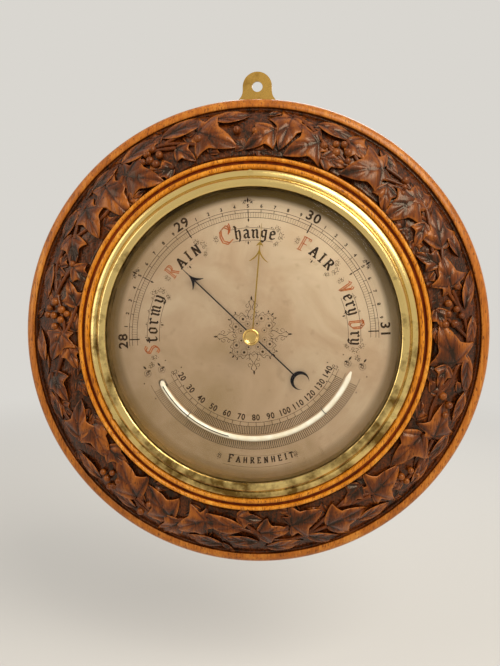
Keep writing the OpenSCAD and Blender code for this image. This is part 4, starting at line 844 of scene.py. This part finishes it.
# a ring of strokes; angles are clockwise from the dial's top
def tickRing(name, count, start, step, inner, outer, width, material):
    ring = growPiece(name, tickTree, {
        "Count": count, "Start": math.radians(start - dial["turn"]), "Step": math.radians(step),
        "Inner": inner * 0.001, "Outer": outer * 0.001, "Width": width * 0.001, "Finish": material})
    ring.data.transform(Matrix.Translation(place(0, 0, dial["face"] + dial["wax"])))
    finishPiece(ring)


# inches: 60 degrees each, 29.5 at the top
inches = {"outer": 79.3, "second": 77.4, "inner": 74.2, "low": -90, "perInch": 60, "count": 3, "over": 3}
engrave("inchCircles", [
    s for r in (inches["outer"], inches["second"], inches["inner"])
    for s in arcBand(r, 0.3, inches["low"] - inches["over"], inches["over"] - inches["low"])], blackWax)
for name, perInch, inner, outer, width, wax in (
    ("inchTenths", 10, inches["second"], inches["outer"], 0.34, blackWax),
    ("inchHalves", 2, inches["inner"], inches["outer"], 0.55, blackWax),
    ("inchFine", 50, inches["inner"], inches["second"], 0.17, greyWax),
    ("inchMarks", 1, inches["inner"] - 1.5, inches["outer"], 0.75, blackWax),
):
    tickRing(name, inches["count"] * perInch + 1, inches["low"], inches["perInch"] / perInch,
             inner, outer, width, wax)

# Fahrenheit: 10.3 degrees of arc for each ten, 80 straight down
heat = {
    "perTen": 10.3, "low": 20, "high": 140, "over": 4, "worn": 22, "numbers": 52.7,
    "fives": (55.7, 58.3), "inner": (58.3, 63.3), "outer": (68.2, 73.0),
}


def heatAngle(value):
    return 180 - (value - 80) / 10 * heat["perTen"]


engrave("heatCircles", [
    s for r, w in ((heat["fives"][0], 0.26), (heat["fives"][1], 0.26), (heat["inner"][1], 0.2),
                   (heat["outer"][1], 0.2))
    for s in arcBand(r, w, heatAngle(heat["low"] - heat["over"]), heatAngle(heat["high"] + heat["over"]))
], blackWax)
# a stroke for each degree: the lowest ones are thin and grey with wear
heatStep = -heat["perTen"] / 10
for name, radii in (("heatInner", heat["inner"]), ("heatOuter", heat["outer"])):
    tickRing(name + "Worn", heat["worn"], heatAngle(heat["low"]), heatStep, *radii, 0.26, greyWax)
    tickRing(name, heat["high"] - heat["low"] - heat["worn"] + 1, heatAngle(heat["low"] + heat["worn"]),
             heatStep, *radii, 0.4, blackWax)
tickRing("heatFives", (heat["high"] - heat["low"]) // 5 + 1, heatAngle(heat["low"]), 5 * heatStep,
         *heat["fives"], 0.32, blackWax)


# the outline round some points
def convexHull(points):
    points = sorted(set(points))
    if len(points) < 3:
        return points

    def half(run):
        chain = []
        for p in run:
            while len(chain) > 1 and (
                (chain[-1][0] - chain[-2][0]) * (p[1] - chain[-2][1])
                - (chain[-1][1] - chain[-2][1]) * (p[0] - chain[-2][0])
            ) <= 0:
                chain.pop()
            chain.append(p)
        return chain[:-1]

    return half(points) + half(points[::-1])


# strokes of a broad pen held at one angle, as the engraver's lettering was drawn; a split pen leaves
# two thin lines side by side
def penShapes(strokes, nib, thin, slant, stretch=1.0, split=0.0):
    angle = math.radians(slant)
    ax, ay = nib / 2 * math.cos(angle), nib / 2 * math.sin(angle)
    bx, by = -thin / 2 * math.sin(angle), thin / 2 * math.cos(angle)
    corners = [(ax + bx, ay + by), (ax - bx, ay - by), (-ax - bx, -ay - by), (-ax + bx, -ay + by)]
    sides = (-split / 2, split / 2) if split else (0,)
    shapes = []
    for side in sides:
        sx, sy = side * math.cos(angle), side * math.sin(angle)
        for stroke in strokes:
            for p, q in zip(stroke, stroke[1:]):
                shapes.append(convexHull([
                    (o[0] * stretch + sx + c[0], o[1] + sy + c[1]) for o in (p, q) for c in corners]))
    return shapes


# each letter's width, then its strokes; small letters are 1 high over the line, capitals 1.5
letterText = {
    "a": ".62: .05,.9 .25,1 .42,.85 .42,.1 .55,0 / .42,.58 .12,.45 .08,.15 .22,0 .42,.2",
    "e": ".58: .1,.5 .48,.66 .42,.9 .27,1 .1,.85 .1,.15 .27,0 .48,.12",
    "g": ".62: .45,.9 .25,1 .08,.85 .08,.3 .25,.15 .42,.3 / .45,1 .42,-.2 .25,-.45 .05,-.35",
    "h": ".64: 0,1.55 .12,1.42 .12,.1 .22,0 / .12,.8 .4,1 .48,.85 .48,.1 .38,-.28",
    "m": "1: 0,.95 .12,.85 .12,.1 .22,0 / .12,.8 .38,1 .45,.85 .45,.1 .55,0"
         " / .45,.8 .7,1 .78,.85 .78,.1 .9,0",
    "n": ".68: 0,.95 .12,.85 .12,.1 .22,0 / .12,.8 .4,1 .48,.85 .48,.1 .58,0",
    "o": ".62: .1,.85 .1,.15 .3,0 .5,.15 .5,.85 .3,1 .1,.85",
    "r": ".54: 0,.95 .15,.85 .15,.1 .28,0 / .15,.8 .4,1 .5,.86",
    "t": ".5: .18,1.3 .18,.15 .3,0 .45,.12 / 0,1 .42,1",
    "y": ".62: 0,.95 .1,.85 .1,.2 .28,0 .48,.2 / .42,1 .5,.85 .5,-.05 .3,-.3 .05,-.22",
    "A": ".9: .02,0 .4,1.5 / .4,1.5 .8,0 / .16,.5 .64,.5 / -.08,0 .16,0 / .64,0 .92,0",
    "C": ".95: .8,1.3 .5,1.6 .12,1.3 .05,.8 .15,.25 .5,0 .82,.2 / .78,1.7 .82,1.3 .7,.9",
    "D": "1: .1,1.5 .2,1.35 .2,.1 .5,0 .85,.35 .85,1.15 .5,1.5 .05,1.45",
    "E": ".8: .1,0 .1,1.5 / 0,1.5 .62,1.5 .62,1.3 / .1,.78 .45,.78 / 0,0 .65,0 .65,.2",
    "F": ".8: .1,0 .1,1.5 / 0,1.5 .66,1.5 .66,1.28 / .1,.78 .46,.78 / -.02,0 .24,0",
    "H": ".9: .1,0 .1,1.5 / .68,0 .68,1.5 / .1,.76 .68,.76",
    "I": ".42: .16,0 .16,1.5 / .02,1.5 .3,1.5 / .02,0 .3,0",
    "N": ".92: .1,0 .1,1.5 / .1,1.5 .7,0 / .7,0 .7,1.5 / 0,0 .22,0 / .58,1.5 .82,1.5",
    "R": ".88: .1,0 .1,1.5 / 0,1.5 .5,1.5 .66,1.3 .62,.98 .45,.8 .1,.78 / .36,.78 .78,0 / -.02,0 .24,0",
    "S": ".86: .75,1.3 .5,1.5 .15,1.38 .1,1.05 .6,.7 .72,.42 .58,.1 .3,0 .02,.2",
    "T": ".8: .36,0 .36,1.5 / 0,1.3 0,1.5 .72,1.5 .72,1.3",
    "V": ".9: 0,1.4 .12,1.5 .24,1.3 .42,.05 / .42,.05 .8,1.3 .66,1.5",
    " ": ".12:",
}


def readLetter(text):
    width, strokes = text.split(":")
    return float(width), [
        [tuple(float(v) for v in point.split(",")) for point in stroke.split()]
        for stroke in strokes.split("/")]


letters = {name: readLetter(text) for name, text in letterText.items()}


# a word bent round the dial from start to end, clockwise from its top; its initial is larger and
# stands lower by sink
def bendWord(word, look, inward=False):
    capsLook = word[1:].isupper()
    big = [c.isupper() and not (capsLook and i) for i, c in enumerate(word)]
    sizes = [look["initial"] if large else look["rest"] for large in big]
    wides = [look["wide"] if large else look["stretch"] for large in big]
    widths = [letters[c][0] * wide * size for c, wide, size in zip(word, wides, sizes)]
    run = math.radians(abs(look["end"] - look["start"])) * look["radius"]
    gap = (run - sum(widths)) / max(1, len(word) - 1)
    facing = -1 if inward else 1
    shapes, along = [], 0
    for c, size, wide, width, large in zip(word, sizes, wides, widths, big):
        share = (along + width / 2) / look["radius"]
        angle = math.radians(look["start"]) + (share if look["end"] > look["start"] else -share)
        up = (facing * math.sin(angle), facing * math.cos(angle))
        right = (up[1], -up[0])
        foot = look["radius"] - (look["sink"] * facing if large else 0)
        cx, cy = foot * math.sin(angle), foot * math.cos(angle)
        nib, thin = (look["bigNib"], look["bigThin"]) if large else (look["nib"], look["thin"])
        strokes = penShapes(letters[c][1], nib, thin, look["slant"], wide, look["split"] if large else 0)
        middle = letters[c][0] * wide / 2
        shapes.append([[(
            cx + ((x - middle) * right[0] + y * up[0]) * size,
            cy + ((x - middle) * right[1] + y * up[1]) * size,
        ) for x, y in shape] for shape in strokes])
        along += width + gap
    return shapes


gothic = {"initial": 5.9, "rest": 5.2, "stretch": 1.32, "wide": 1.0, "sink": 0.5, "slant": 38, "nib": 0.23,
          "thin": 0.1, "bigNib": 0.1, "bigThin": 0.07, "split": 0.2, "panel": (6.3, -1.5)}
roman = {"initial": 5.5, "rest": 4.0, "stretch": 1.2, "wide": 1.05, "sink": 0.4, "slant": 8, "nib": 0.31,
         "thin": 0.17, "bigNib": 0.09, "bigThin": 0.07, "split": 0.19, "panel": None}
weather = [
    ("Stormy", dict(gothic, radius=61.3, start=-98.2, end=-64.6)),
    ("RAIN", dict(roman, radius=61.9, start=-51.6, end=-29.2)),
    ("Change", dict(gothic, radius=61.6, start=-16.4, end=15.2, initial=6.8, sink=1.6, wide=1.25)),
    ("FAIR", dict(roman, radius=62.5, start=29.8, end=51.4, initial=6.0, sink=1.2)),
    ("Very Dry", dict(gothic, radius=61.7, start=62.6, end=97.4, stretch=1.15)),
]
redShapes, blackShapes = [], []
for word, look in weather:
    for i, made in enumerate(bendWord(word, look)):
        (redShapes if i == 0 or word[i] == "D" else blackShapes).extend(made)
unit = {"radius": 81.9, "start": 193.2, "end": 163.4, "initial": 3.2, "rest": 2.35, "stretch": 1.15,
        "wide": 1.15, "sink": 0.6, "slant": 12, "nib": 0.33, "thin": 0.2, "bigNib": 0.28,
        "bigThin": 0.17, "split": 0}
blackShapes += [shape for made in bendWord("FAHRENHEIT", unit, inward=True) for shape in made]
engrave("weatherInitials", redShapes, redWax)
engrave("weatherWords", blackShapes, blackWax)

digits = {
    "em": 1.38,             # type size for each millimetre of height
    "space": 1.12,
    "bold": (0.02, 0.08),   # thickening: a share of the height, and a fixed part
}


def bendNumber(text, radius, clockwise, height, squeeze, inward):
    curve = bpy.data.curves.new("number", "FONT")
    curve.body = text
    curve.size = height * digits["em"]
    curve.align_x = "CENTER"
    curve.align_y = "CENTER"
    curve.resolution_u = 3
    curve.offset = digits["bold"][0] * height + digits["bold"][1]
    curve.space_character = digits["space"]
    holder = addObject("number", curve)
    mesh = plainMesh(holder)
    bpy.data.objects.remove(holder)
    up = polar(-1 if inward else 1, clockwise)
    right = (up[1] * squeeze, -up[0] * squeeze)
    cx, cy = polar(radius, clockwise)
    points = [(cx + v.co.x * right[0] + v.co.y * up[0], cy + v.co.x * right[1] + v.co.y * up[1])
              for v in mesh.vertices]
    return points, [tuple(face.vertices) for face in mesh.polygons]


# text, radius, place clockwise, height, width's share, and whether its foot is outwards
numbers = [(str(28 + n), 83.1, inches["low"] - 0.6 + inches["perInch"] * n, 6.0, 1.1, False)
           for n in range(inches["count"] + 1)]
numbers += [(str(n), 81.4, inches["low"] + inches["perInch"] * (k + n / 10), 2.1, 1, False)
            for k in range(inches["count"]) for n in range(1, 10)]
numbers += [(str(v), heat["numbers"], heatAngle(v), 3.9, 0.88, True)
            for v in range(heat["low"], heat["high"] + 1, 10)]
numberPoints, numberFaces = [], []
for number in numbers:
    points, faces = bendNumber(*number)
    offset = len(numberPoints)
    numberPoints += [dialPlace(x, y) for x, y in points]
    numberFaces += [tuple(offset + i for i in face) for face in faces]
makePiece("dialNumbers", numberPoints, numberFaces, blackWax)

# ornament: curls, dots, rings and small leaves, drawn with the same pen
ornamentPen = {"slant": 40, "shrink": 0.65, "curlPoints": 14, "dotSides": 8, "ringSides": 16}


def drawLines(lines, nib, thin):
    return penShapes(lines, nib, thin, ornamentPen["slant"])


def curl(x, y, size, start, sweep):
    line = []
    for i in range(ornamentPen["curlPoints"] + 1):
        t = i / ornamentPen["curlPoints"]
        cx, cy = polar(size * (1 - ornamentPen["shrink"] * t), start + sweep * t)
        line.append((x + cx, y + cy))
    return line


def dot(x, y, radius, sides=ornamentPen["dotSides"]):
    return [(x + radius * math.cos(2 * math.pi * i / sides), y + radius * math.sin(2 * math.pi * i / sides))
            for i in range(sides)]


def ringDot(x, y, radius, width):
    sides = ornamentPen["ringSides"]
    outer, inner = dot(x, y, radius, sides), dot(x, y, radius - width, sides)
    return [[outer[i], outer[(i + 1) % sides], inner[(i + 1) % sides], inner[i]] for i in range(sides)]


def smallLeaf(x, y, direction, length, width):
    sx, sy = polar(1, direction)
    return [(x + sx * length * a + sy * width * b, y + sy * length * a - sx * width * b)
            for a, b in ((0, 0), (0.3, 0.4), (0.6, 0.42), (1, 0), (0.6, -0.42), (0.3, -0.4))]


# a spray: three curls that fan out, with leaves between them and dots beyond
def spray(radius, clockwise, heading, size):
    x, y = polar(radius, clockwise)
    shapes = []
    for turn, sweep in ((-55, 250), (0, -260), (55, -250)):
        out = clockwise + heading + turn
        sx, sy = polar(size, out)
        shapes += drawLines([curl(x + sx, y + sy, size * 0.62, out + 180, sweep)], 0.3, 0.2)
        shapes.append(dot(x + sx * 2.1, y + sy * 2.1, 0.24))
    for turn in (-28, 28):
        out = clockwise + heading + turn
        sx, sy = polar(size * 1.2, out)
        shapes.append(smallLeaf(x + sx, y + sy, out, size * 0.9, 0.7))
    return shapes


# sprays beside a weather word: height over its radius, its end, degrees beyond, heading and size
wordSprays = (
    (3.2, "end", 1.6, 90, 1.7), (6.4, "end", -0.5, 50, 1.4), (-1.6, "end", 0.5, 130, 1.1),
    (3.4, "start", -1.4, -90, 1.4))
ornament, faint = [], []
for word, look in weather:
    radius, start, end = look["radius"], look["start"], look["end"]
    middle = (start + end) / 2
    for rise, side, beyond, heading, size in wordSprays:
        faint += spray(radius + rise, look[side] + beyond, heading, size)
    ornament.append(smallLeaf(*polar(radius - 1.9, middle), middle + 180, 2.4, 1.1))
    ornament += [dot(*polar(radius - 2.4, middle + turn), 0.26) for turn in (-1.4, 1.4)]
    if look["panel"]:
        for rise in look["panel"]:
            ornament += arcBand(radius + rise, 0.26, start + 6.5, end - 1)
        for n in range(4):
            at = start + 9 + (end - start - 12) * n / 3
            ornament.append(smallLeaf(*polar(radius + 6.6, at), at, 1.3, 0.8))
            ornament += [dot(*polar(radius + 7.0, at + turn), 0.22) for turn in (-0.9, 0.9)]
# at each half inch
for angle in (-60, 0, 60):
    ornament.append(smallLeaf(*polar(83.4, angle), angle, 3.6, 1.5))
    ornament.append(smallLeaf(*polar(74.0, angle), angle + 180, 2.6, 1.2))
    ornament += [dot(*polar(83.6 + 1.1 * abs(k) % 2, angle + 0.9 * k), 0.25) for k in (-3, -2, -1, 1, 2, 3)]
    ornament += spray(84.0, angle + 0.9, 60, 0.9) + spray(84.0, angle - 0.9, -60, 0.9)
# at both ends of the thermometer, and beside the unit's word
for side in (-1, 1):
    for radius, angle in ((71.9, 108.0), (62.5, 108.6)):
        x, y = polar(radius, side * angle)
        ornament += ringDot(x, y, 2.3, 0.2) + ringDot(x, y, 0.9, 0.3)
        ornament += drawLines([curl(x, y, 1.5, k * 120, 150 * side) for k in range(3)], 0.24, 0.16)
        ornament.append(smallLeaf(*polar(radius, side * (angle - 2.2)), side * 40, 3.0, 1.4))
        ornament.append(smallLeaf(*polar(radius - 2.6, side * (angle - 1)), side * 110, 2.6, 1.2))
    for radius, angle in ((50.2, 112), (74.6, 121), (76.5, 112), (55.0, 124), (67.2, 103), (58.4, 104)):
        ornament.append(dot(*polar(radius, side * angle), 0.42))
    ornament += spray(55.6, side * 112, 90 * side, 1.5) + spray(67.4, side * 105.5, -70 * side, 1.3)
    ornament += spray(80.2, 180 + side * 17.0, 90 * side, 1.2)
ornament += arcBand(84.6, 0.16, 164.8, 195.2) + arcBand(77.4, 0.16, 164.8, 193.0)
engrave("dialFlourishes", ornament, blackWax)
engrave("wordFlourishes", faint, greyWax)

# rosette round the arbor: four leafy lobes with ringed dots, and a finial on each axis
rosette = []
for axis in range(0, 360, 90):
    diagonal = axis + 45
    for side in (-1, 1):
        for radius, angle, ring, inside in ((12.1, diagonal + 16 * side, 2.3, 0.85),
                                            (8.0, axis + 22 * side, 1.7, 0.6)):
            rosette += ringDot(*polar(radius, angle), ring, 0.14)
            rosette.append(dot(*polar(radius, angle), inside))
        lobe, inner, finial = [], [], []
        for i in range(25):
            t = i / 24
            angle = diagonal + side * (2 + 34 * t)
            lobe.append(polar(16.8 - 5.8 * t * t + 0.9 * math.sin(t * 15), angle))
            inner.append(polar(15.2 - 5.6 * t * t + 0.5 * math.sin(t * 15), angle))
        for i in range(19):
            t = i / 18
            swing = 11 * (1 - t) ** 1.2 + 3.0 * math.sin(t * 9.4)
            finial.append(polar(11.5 + 11.5 * t, axis + side * swing))
        rosette += drawLines([lobe], 0.26, 0.18) + drawLines([inner], 0.12, 0.09)
        rosette += drawLines([finial], 0.28, 0.2)
        rosette += drawLines([curl(*polar(18.8, axis + side * 7.5), 1.5, axis, 290 * side)], 0.24, 0.16)
        rosette += drawLines([curl(*polar(15.6, axis + side * 12), 1.2, axis + 90, 260 * side)], 0.22, 0.14)
        rosette.append(dot(*polar(21.4, axis + side * 4.5), 0.36))
        rosette.append(smallLeaf(*polar(17.2, diagonal + side * 9), diagonal + side * 20, 1.8, 1.0))
    rosette.append(dot(*polar(14.4, diagonal), 0.55))
    rosette.append(smallLeaf(*polar(17.0, diagonal), diagonal, 2.6, 1.2))
    rosette.append(smallLeaf(*polar(22.2, axis), axis, 3.0, 1.3))
    rosette += drawLines([curl(*polar(11.6, axis), 1.6, axis + turn, 200) for turn in (0, 180)], 0.22, 0.16)
engrave("rosetteEngraving", rosette, blackWax)
print("dial engraved")

# the mercury shows as a dark thread, widened by the round glass over it; degrees from straight down
thread = {"from": -62.6, "to": -15.5, "width": 0.62, "rise": 1.76, "steps": 60}
threadAcross = (-0.5, -0.25, 0, 0.25, 0.5)
lanes = len(threadAcross)
threadPoints, threadFaces = [], []
for i in range(thread["steps"] + 1):
    angle = 180 - (thread["from"] + (thread["to"] - thread["from"]) * i / thread["steps"])
    for across in threadAcross:
        offset = across * thread["width"]
        height = dial["tubeAxis"] + math.sqrt(thread["rise"] ** 2 - offset ** 2)
        threadPoints.append(dialPlace(*polar(dial["tube"] + offset, angle), height - dial["face"]))
for i in range(thread["steps"]):
    for a in range(i * lanes, i * lanes + lanes - 1):
        threadFaces.append((a, a + 1, a + lanes + 1, a + lanes))
makePiece("mercuryThread", threadPoints, threadFaces, wireIron)

finishes = {
    bezelBrass: ["bezel", "bezel_screws"],
    sightBrass: ["sight_ring"],
    sheetBrass: ["hanger_plate"],
    spunBrass: ["case", "dial_feet"],
    knobBrass: ["set_knob", "set_spindle", "set_washer"],
    needleBrass: ["set_hand"],
    movementBrass: ["base_plate", "main_lever", "lever_rivets", "rocking_bracket", "chain_roller",
                    "hairspring_stud", "lower_cock", "upper_cock", "cock_pillars", "hand_collet"],
    silvered: ["dial"],
    bluedSteel: ["blued_hand", "mainspring", "hairspring"],
    brightSteel: ["capsule_post", "knife_edge", "link_rod", "rocking_shaft", "chain", "arbor",
                  "adjusting_screw"],
    screwSteel: ["hanger_screws", "dial_foot_screws", "base_plate_screws", "bridge_screws",
                 "mainspring_screws", "bracket_screws", "cock_screws"],
    capsuleMetal: ["capsule"],
    japanned: ["bridge"],
    plateGlass: ["glass"],
    tubeGlass: ["thermometer_tube"],
    mercuryMetal: ["thermometer_mercury"],
    wireIron: ["thermometer_ties"],
}
for material, nodes in finishes.items():
    for node in nodes:
        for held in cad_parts[node].material_slots:
            held.material = material

studio = {
    "floor": -0.42, "half": 6, "pale": "d9d6d0", "floorPaint": "c6c3bd", "fade": (0.5, 1.6),
    "world": 0.55, "worldTint": (1, 0.98, 0.95, 1),
}
# floor paint, matt: far off it fades into the background
floorPaint, tree, shader, coords = startMaterial("floorPaint", {
    "Roughness": 0.85, "Base Color": studio["floorPaint"]})
away = addNode(tree, "ShaderNodeVectorMath", {0: coords}, operation="LENGTH")
fade = addNode(tree, "ShaderNodeMapRange", {
    "Value": away.outputs["Value"], "From Min": studio["fade"][0], "From Max": studio["fade"][1]},
    interpolation_type="SMOOTHSTEP")
air = addNode(tree, "ShaderNodeEmission", {"Color": studio["pale"], "Strength": 1.0})
fading = addNode(tree, "ShaderNodeMixShader", {0: fade, 1: shader, 2: air})
path = addNode(tree, "ShaderNodeLightPath").outputs
indirect = addNode(tree, "ShaderNodeMixShader", {0: path["Is Diffuse Ray"], 1: fading, 2: shader})
setInputs(tree, tree.nodes["Material Output"], {"Surface": indirect})
floorMesh = bpy.data.meshes.new("floor")
floorMesh.from_pydata([
    (x * studio["half"], y * studio["half"], studio["floor"])
    for x, y in ((-1, -1), (1, -1), (1, 1), (-1, 1))], [], [(0, 1, 2, 3)])
floorMesh.materials.append(floorPaint)
addObject("floor", floorMesh)

# the world lights the piece, and shows itself pale
world = bpy.data.worlds.new("studio")
scene.world = world
world.use_nodes = True
tree = world.node_tree
tree.nodes.clear()
path = addNode(tree, "ShaderNodeLightPath").outputs
seen = path["Is Camera Ray"]
for ray in ("Is Glossy Ray", "Is Transmission Ray"):
    seen = addNode(tree, "ShaderNodeMath", {0: seen, 1: path[ray]}, operation="MAXIMUM")
lit = addNode(tree, "ShaderNodeBackground", {"Color": studio["worldTint"], "Strength": studio["world"]})
shown = addNode(tree, "ShaderNodeBackground", {"Color": studio["pale"], "Strength": 1.0})
both = addNode(tree, "ShaderNodeMixShader", {0: seen, 1: lit, 2: shown})
addNode(tree, "ShaderNodeOutputWorld", {"Surface": both})

lampTarget = Vector((0, 0, -0.16))
for name, position, size, power, colour in (
    ("keyLamp", (0.55, -0.8, 0.55), (0.7, 0.7), 13, (1, 0.94, 0.85)),
    ("fillLamp", (-0.95, -0.6, 0.15), (0.5, 0.9), 3, (1, 0.95, 0.9)),
    ("backLamp", (0.2, 1.0, 0.6), (0.8, 0.8), 8, (1, 1, 1)),
):
    data = bpy.data.lights.new(name, "AREA")
    data.shape = "RECTANGLE"
    data.size, data.size_y = size
    data.energy = power
    data.color = colour
    lamp = addObject(name, data)
    lamp.location = position
    lamp.rotation_euler = (lampTarget - lamp.location).to_track_quat("-Z", "Y").to_euler()
print("studio made")
